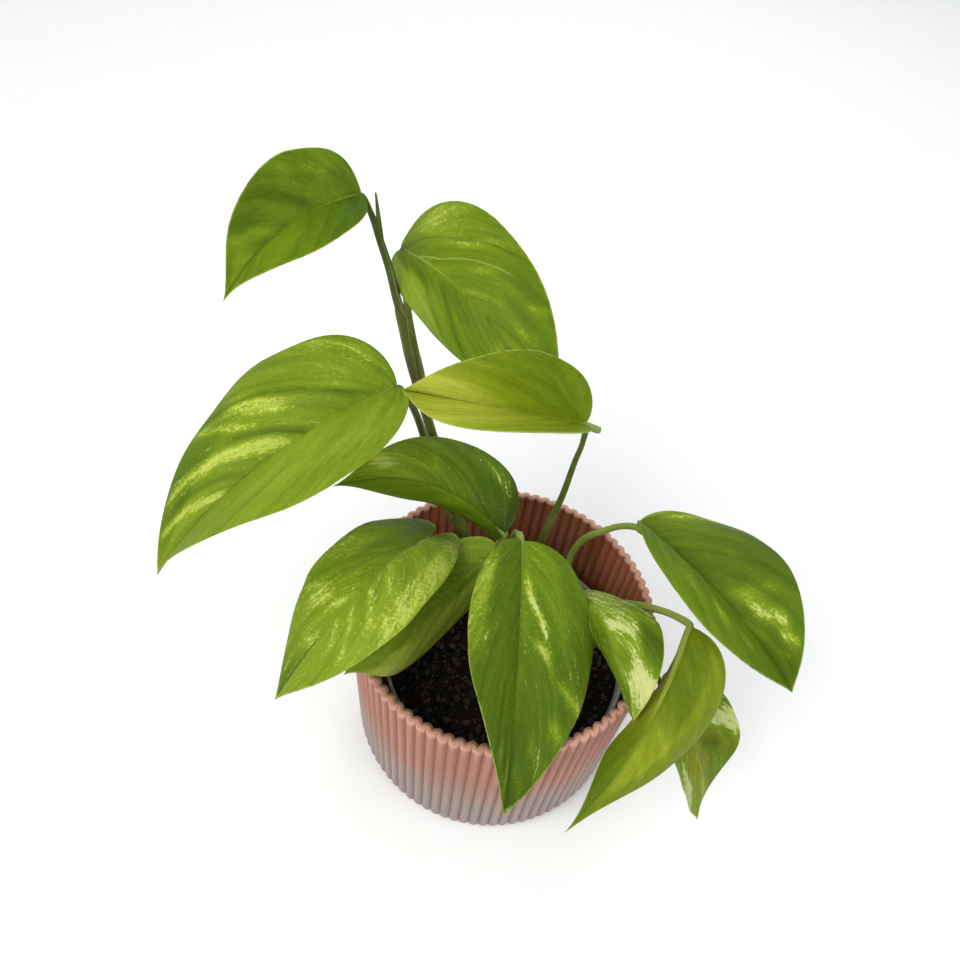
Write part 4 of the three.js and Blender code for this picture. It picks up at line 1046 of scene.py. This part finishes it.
def bladeShape(leaf, axes, seed):
    look = bladeLook
    length = axes[4]
    draws = np.random.default_rng(seed)
    phases = draws.uniform(0, 2 * np.pi, 6)
    shares = columnShares()
    parts, faces = [], []
    for sign, side in ((1, "right"), (-1, "left")):
        width = leaf[side][0]
        start, edge, vein = veinRows(leaf, sign, width, length)
        share = np.tile(shares, (len(start), 1))
        a = start[:, None] + (edge[:, :1] - start[:, None]) * share ** look["veinBend"]
        b = edge[:, 1:] * share
        t = np.clip(a / length, 0, 1)
        room = edge[:, 1:] / width        # 1 where the half is widest, 0 at the tip
        slope = leaf.get("slope", look["veinSlope"]) * share
        sloped = vein[:, None] - slope - leaf.get("veinShift", 0)
        strength = veinStrength(sloped, draws)
        relief = bladeRelief(sign, sloped, strength, share, t, room, phases)
        thick = halfThickness(share, room)
        groove = look["groove"] * np.exp(-(b / look["grooveWidth"]) ** 2) * (1 - 0.75 * t)
        keel = look["keel"] * np.exp(-(b / look["keelWidth"]) ** 2) * (1 - t) ** 0.8
        upper = bladePoints(leaf, axes, a, sign * b, relief + thick - groove)
        lower = bladePoints(leaf, axes, a, sign * b, relief - thick - keel)
        arc = np.concatenate([[0], np.cumsum(np.linalg.norm(np.diff(edge, axis=0), axis=1))])
        arcs = arc[:, None] - slope * arc[-1] + look["arcStep"] * seed
        maps = np.stack([arcs, sign * b, sloped], -1)
        tones, lines = bladePaint(leaf, side, vein, sloped, strength, share, t, edge)
        first = sum(len(part[0]) for part in parts)
        faces += halfFaces(*share.shape, first, sign)
        for points in (upper, lower):
            parts.append([x.reshape(-1, 3) for x in (points, maps, tones, lines)])
    points, maps, tones, lines = (np.vstack(layer) for layer in zip(*parts))
    skin = [0, 1] * (len(faces) // 2)        # the blade's upper skin, its underside
    return weld({"points": points, "faces": faces, "skin": skin, "map": maps, "tone": tones, "line": lines})


def stalkShape(leaf, axes):
    look = stalkLook
    length = axes[4]
    foot, top = leaf["radii"]
    wingEnd = leaf.get("sheath", look["wingEnd"])
    reach, heights, sides, taper = leaf.get("ribRun", look["ribRun"])
    places = (0, 2, 0.5 * reach * length, reach * length)
    corners = [*leaf["stalk"], *(tuple(bladePoints(leaf, axes, *run)) for run in zip(places, sides, heights))]
    total = smoothLine(np.array(corners, float), 9)[1]
    underBlade = reach * length / total
    joint = 1 - underBlade

    def radiusAt(t, along):
        radius = foot + (top - foot) * min(1, t / joint)
        knee = math.exp(-(((t - joint * 0.95) / look["kneeWidth"]) ** 2))        # swollen under the blade
        sink = float(smoothstep(joint, 1, t))
        return (radius + look["knee"] * knee) * (1 - taper * sink)

    def wings(angle, width):
        return sum(np.exp(-((angle - side * look["wingAngle"]) / width) ** 2) for side in (1, -1))

    def section(angle, t):
        fade = float(smoothstep(wingEnd + 0.06, wingEnd - 0.3, t))
        groove = look["groove"] * np.exp(-(angle / look["grooveWidth"]) ** 2)
        groove = groove * float(smoothstep(1.02 - underBlade, 0.9 - underBlade, t))
        return 1 - groove + look["wing"] * fade * wings(angle, 0.17)
    topNormal = unit(bladePoints(leaf, axes, 0.0, 0.0, 1.0) - bladePoints(leaf, axes, 0.0, 0.0, 0.0))
    shape = tubeShape(corners, radiusAt, look["steps"], look["sides"], section, topNormal, skin=2)
    angle, t = shape["map"][:, 0], shape["map"][:, 2]
    shape["tone"][:, 0] = look["footBrown"] * smoothstep(0.12, 0.0, t)
    shape["tone"][:, 1] = look["wingPale"] * wings(angle, 0.2) * smoothstep(wingEnd, wingEnd - 0.25, t)
    shape["tone"][:, 2] = leaf["pale"]
    return shape


def spurShape(spur):
    line, foot, top, tone = spur

    def radiusAt(t, along):
        return foot + (top - foot) * t

    def section(angle, t):
        return 1 + 0.03 * np.cos(3 * angle)
    return tubeShape(line, radiusAt, 16, 16, section, (0.1, -1, 0.1), 2, tone)


def leafStreaks(tree, arc, out, place):        # clouds, strokes and fine strokes along the side veins
    sway = noiseAt(tree, place, 160, 3, 0.6)
    along = calc(tree, "ADD", arc, calc(tree, "MULTIPLY", sway, 4.0))

    def strokes(across, outward, detail, rough, twist):
        x = calc(tree, "MULTIPLY", along, across)
        y = calc(tree, "MULTIPLY", out, outward)
        vector = joinXyz(tree, x, y, 0.0)
        return calc(tree, "SUBTRACT", noiseAt(tree, vector, 1.0, detail, rough, twist), 0.5)
    broad = strokes(0.11, 0.05, 3, 0.5, 0.4)
    brush = strokes(0.4, 0.14, 4, 0.6, 0.6)
    fine = strokes(1.5, 0.55, 4, 0.65, 0.8)
    return broad, brush, fine


def newLeafMaterial(name, specular):        # some light goes through a leaf
    return newMaterial(name, SpecularIORLevel=specular, SubsurfaceWeight=0.1,
                       SubsurfaceScale=0.0008, SubsurfaceRadius=(0.5, 1.0, 0.2))


def veinWaveOf(tree, vein):        # 0 on a side vein, 0.5 halfway to the next one
    return calc(tree, "PINGPONG", calc(tree, "MULTIPLY", vein, float(bladeLook["veins"])), 0.5)


def bladeMaterial():
    material, tree, shader = newLeafMaterial("variegatedLeaf", 0.12)
    arc, out, vein = readMap(tree, "skinMap")
    light, cream, strength = readMap(tree, "skinTone")
    flecks, edgeGap, ribPaleAndShade = readMap(tree, "skinLine")
    place = placeOf(tree)
    broad, brush, fine = leafStreaks(tree, arc, out, place)
    speckle = calc(tree, "SUBTRACT", noiseAt(tree, place, 900, 2, 0.5), 0.5)
    mottle = noiseAt(tree, place, 420, 5, 0.62)
    speck = noiseAt(tree, place, 1300, 3, 0.6)

    torn = summed(tree, flecks, (speckle, 1.3), (brush, 0.9), (fine, 1.2), (broad, 0.3))
    patch = stepUp(tree, torn, 0.2, 0.46)        # light flecks with torn edges
    patchTone = calc(tree, "MULTIPLY", patch, summed(tree, 0.13, (light, 0.12)))
    gap = calc(tree, "ABSOLUTE", summed(tree, 0.0, (brush, 1.0), (fine, 0.3)))
    ridge = stepUp(tree, gap, 0.05, 0.0, 0.06)        # thin paler lines between the strokes
    # light holds the blade's own tone together with the marks' painted light and shade
    tone = summed(tree, 0.47, (light, 0.3), (patchTone, 1.0), (ridge, 1.0))
    tone = summed(tree, tone, (broad, 0.36), (brush, 0.14), (fine, 0.08))
    colour = rampColour(tree, tone, leafColours["ramp"])
    colour = blendColour(tree, stepUp(tree, cream, -0.1, -1.0), colour, leafColours["olive"], "MULTIPLY")
    creamShare = stepUp(tree, summed(tree, cream, (brush, 1.6), (fine, 1.4), (speckle, 0.8)), 0.38, 0.6)
    colour = blendColour(tree, creamShare, colour, leafColours["cream"])
    # a random mottle over the blade; the blue lift in both of its colours is a painted whitish sheen
    mottleAndSheen = blendColour(tree, stepUp(tree, mottle, 0.3, 0.72), leafColours["dim"], leafColours["bright"])
    colour = blendColour(tree, 1.0, colour, mottleAndSheen, "MULTIPLY")

    veinWave = veinWaveOf(tree, vein)
    # dark lines of painted shade along the side veins' creases; where the veining is below 0 they turn pale
    veinLine = calc(tree, "MULTIPLY", stepUp(tree, veinWave, 0.12, 0.0, 0.3), strength)
    paleLine = calc(tree, "MULTIPLY", stepUp(tree, veinWave, 0.07, 0.0, -0.3), strength, clamp=True)
    colour = blendColour(tree, calc(tree, "MAXIMUM", veinLine, 0.0), colour, leafColours["crease"])
    colour = blendColour(tree, paleLine, colour, leafColours["rib"])
    # the midrib: a pale line where the rib value is above 0, and below 0 a dark crease of painted shade
    ribLine = stepUp(tree, calc(tree, "ABSOLUTE", out), 0.55, 0.15)
    paleRib = calc(tree, "MULTIPLY", ribLine, ribPaleAndShade, clamp=True)
    colour = blendColour(tree, paleRib, colour, leafColours["rib"])
    ribCreaseShade = calc(tree, "MULTIPLY", ribLine, calc(tree, "MULTIPLY", ribPaleAndShade, -1.0), clamp=True)
    colour = blendColour(tree, ribCreaseShade, colour, leafColours["crease"])
    edgeLine = calc(tree, "MULTIPLY", stepUp(tree, edgeGap, 0.35, 0.08, 0.8), stepUp(tree, mottle, 0.3, 0.6))
    colour = blendColour(tree, edgeLine, colour, leafColours["edge"])
    rough = summed(tree, 0.5, (mottle, 0.2), (brush, -0.1))
    height = summed(tree, speck, (mottle, 2.0), (brush, 0.6), (fine, 0.4))
    finishMaterial(tree, shader, colour, rough, height, 0.0001, 0.5)
    return material


def undersideMaterial():
    material, tree, shader = newLeafMaterial("leafUnderside", 0.25)
    arc, out, vein = readMap(tree, "skinMap")
    light, cream = readMap(tree, "skinTone")[:2]
    place = placeOf(tree)
    broad, brush = leafStreaks(tree, arc, out, place)[:2]
    mottle = noiseAt(tree, place, 420, 5, 0.62)
    tone = summed(tree, 0.62, (light, 0.25), (broad, 0.5), (brush, 0.6))
    colour = rampColour(tree, tone, leafColours["ramp"])
    colour = blendColour(tree, 0.4, colour, leafColours["underside"])        # paler and greyer than above
    creamShare = stepUp(tree, summed(tree, cream, (brush, 1.5)), 0.3, 0.9, 0.8)
    colour = blendColour(tree, creamShare, colour, leafColours["cream"])
    veinWave = veinWaveOf(tree, vein)
    veinLine = stepUp(tree, veinWave, 0.07, 0.01, 0.5)
    colour = blendColour(tree, veinLine, colour, leafColours["rib"])
    ribLine = stepUp(tree, calc(tree, "ABSOLUTE", out), 1.4, 0.6, 0.8)
    colour = blendColour(tree, ribLine, colour, leafColours["rib"])
    height = summed(tree, mottle, (brush, 0.8), (veinLine, 1.2))
    finishMaterial(tree, shader, colour, summed(tree, 0.5, (mottle, 0.2)), height, 0.0003, 0.5)
    return material


def makeLeaf(name, leaf, materials, seed):
    axes = bladeAxes(leaf)
    shapes = [bladeShape(leaf, axes, seed), stalkShape(leaf, axes)]
    if "spur" in leaf:
        shapes.append(spurShape(leaf["spur"]))
    makePiece(name + "_skin", joinShapes(shapes), materials, [name])


leafSkins = [bladeMaterial(), undersideMaterial(), greenSkin("stalkSkin", stalkColours, 0.46)]
for number, (leafName, leaf) in enumerate(leaves.items(), 1):
    makeLeaf(leafName, leaf, leafSkins, number)
print("leaves done")
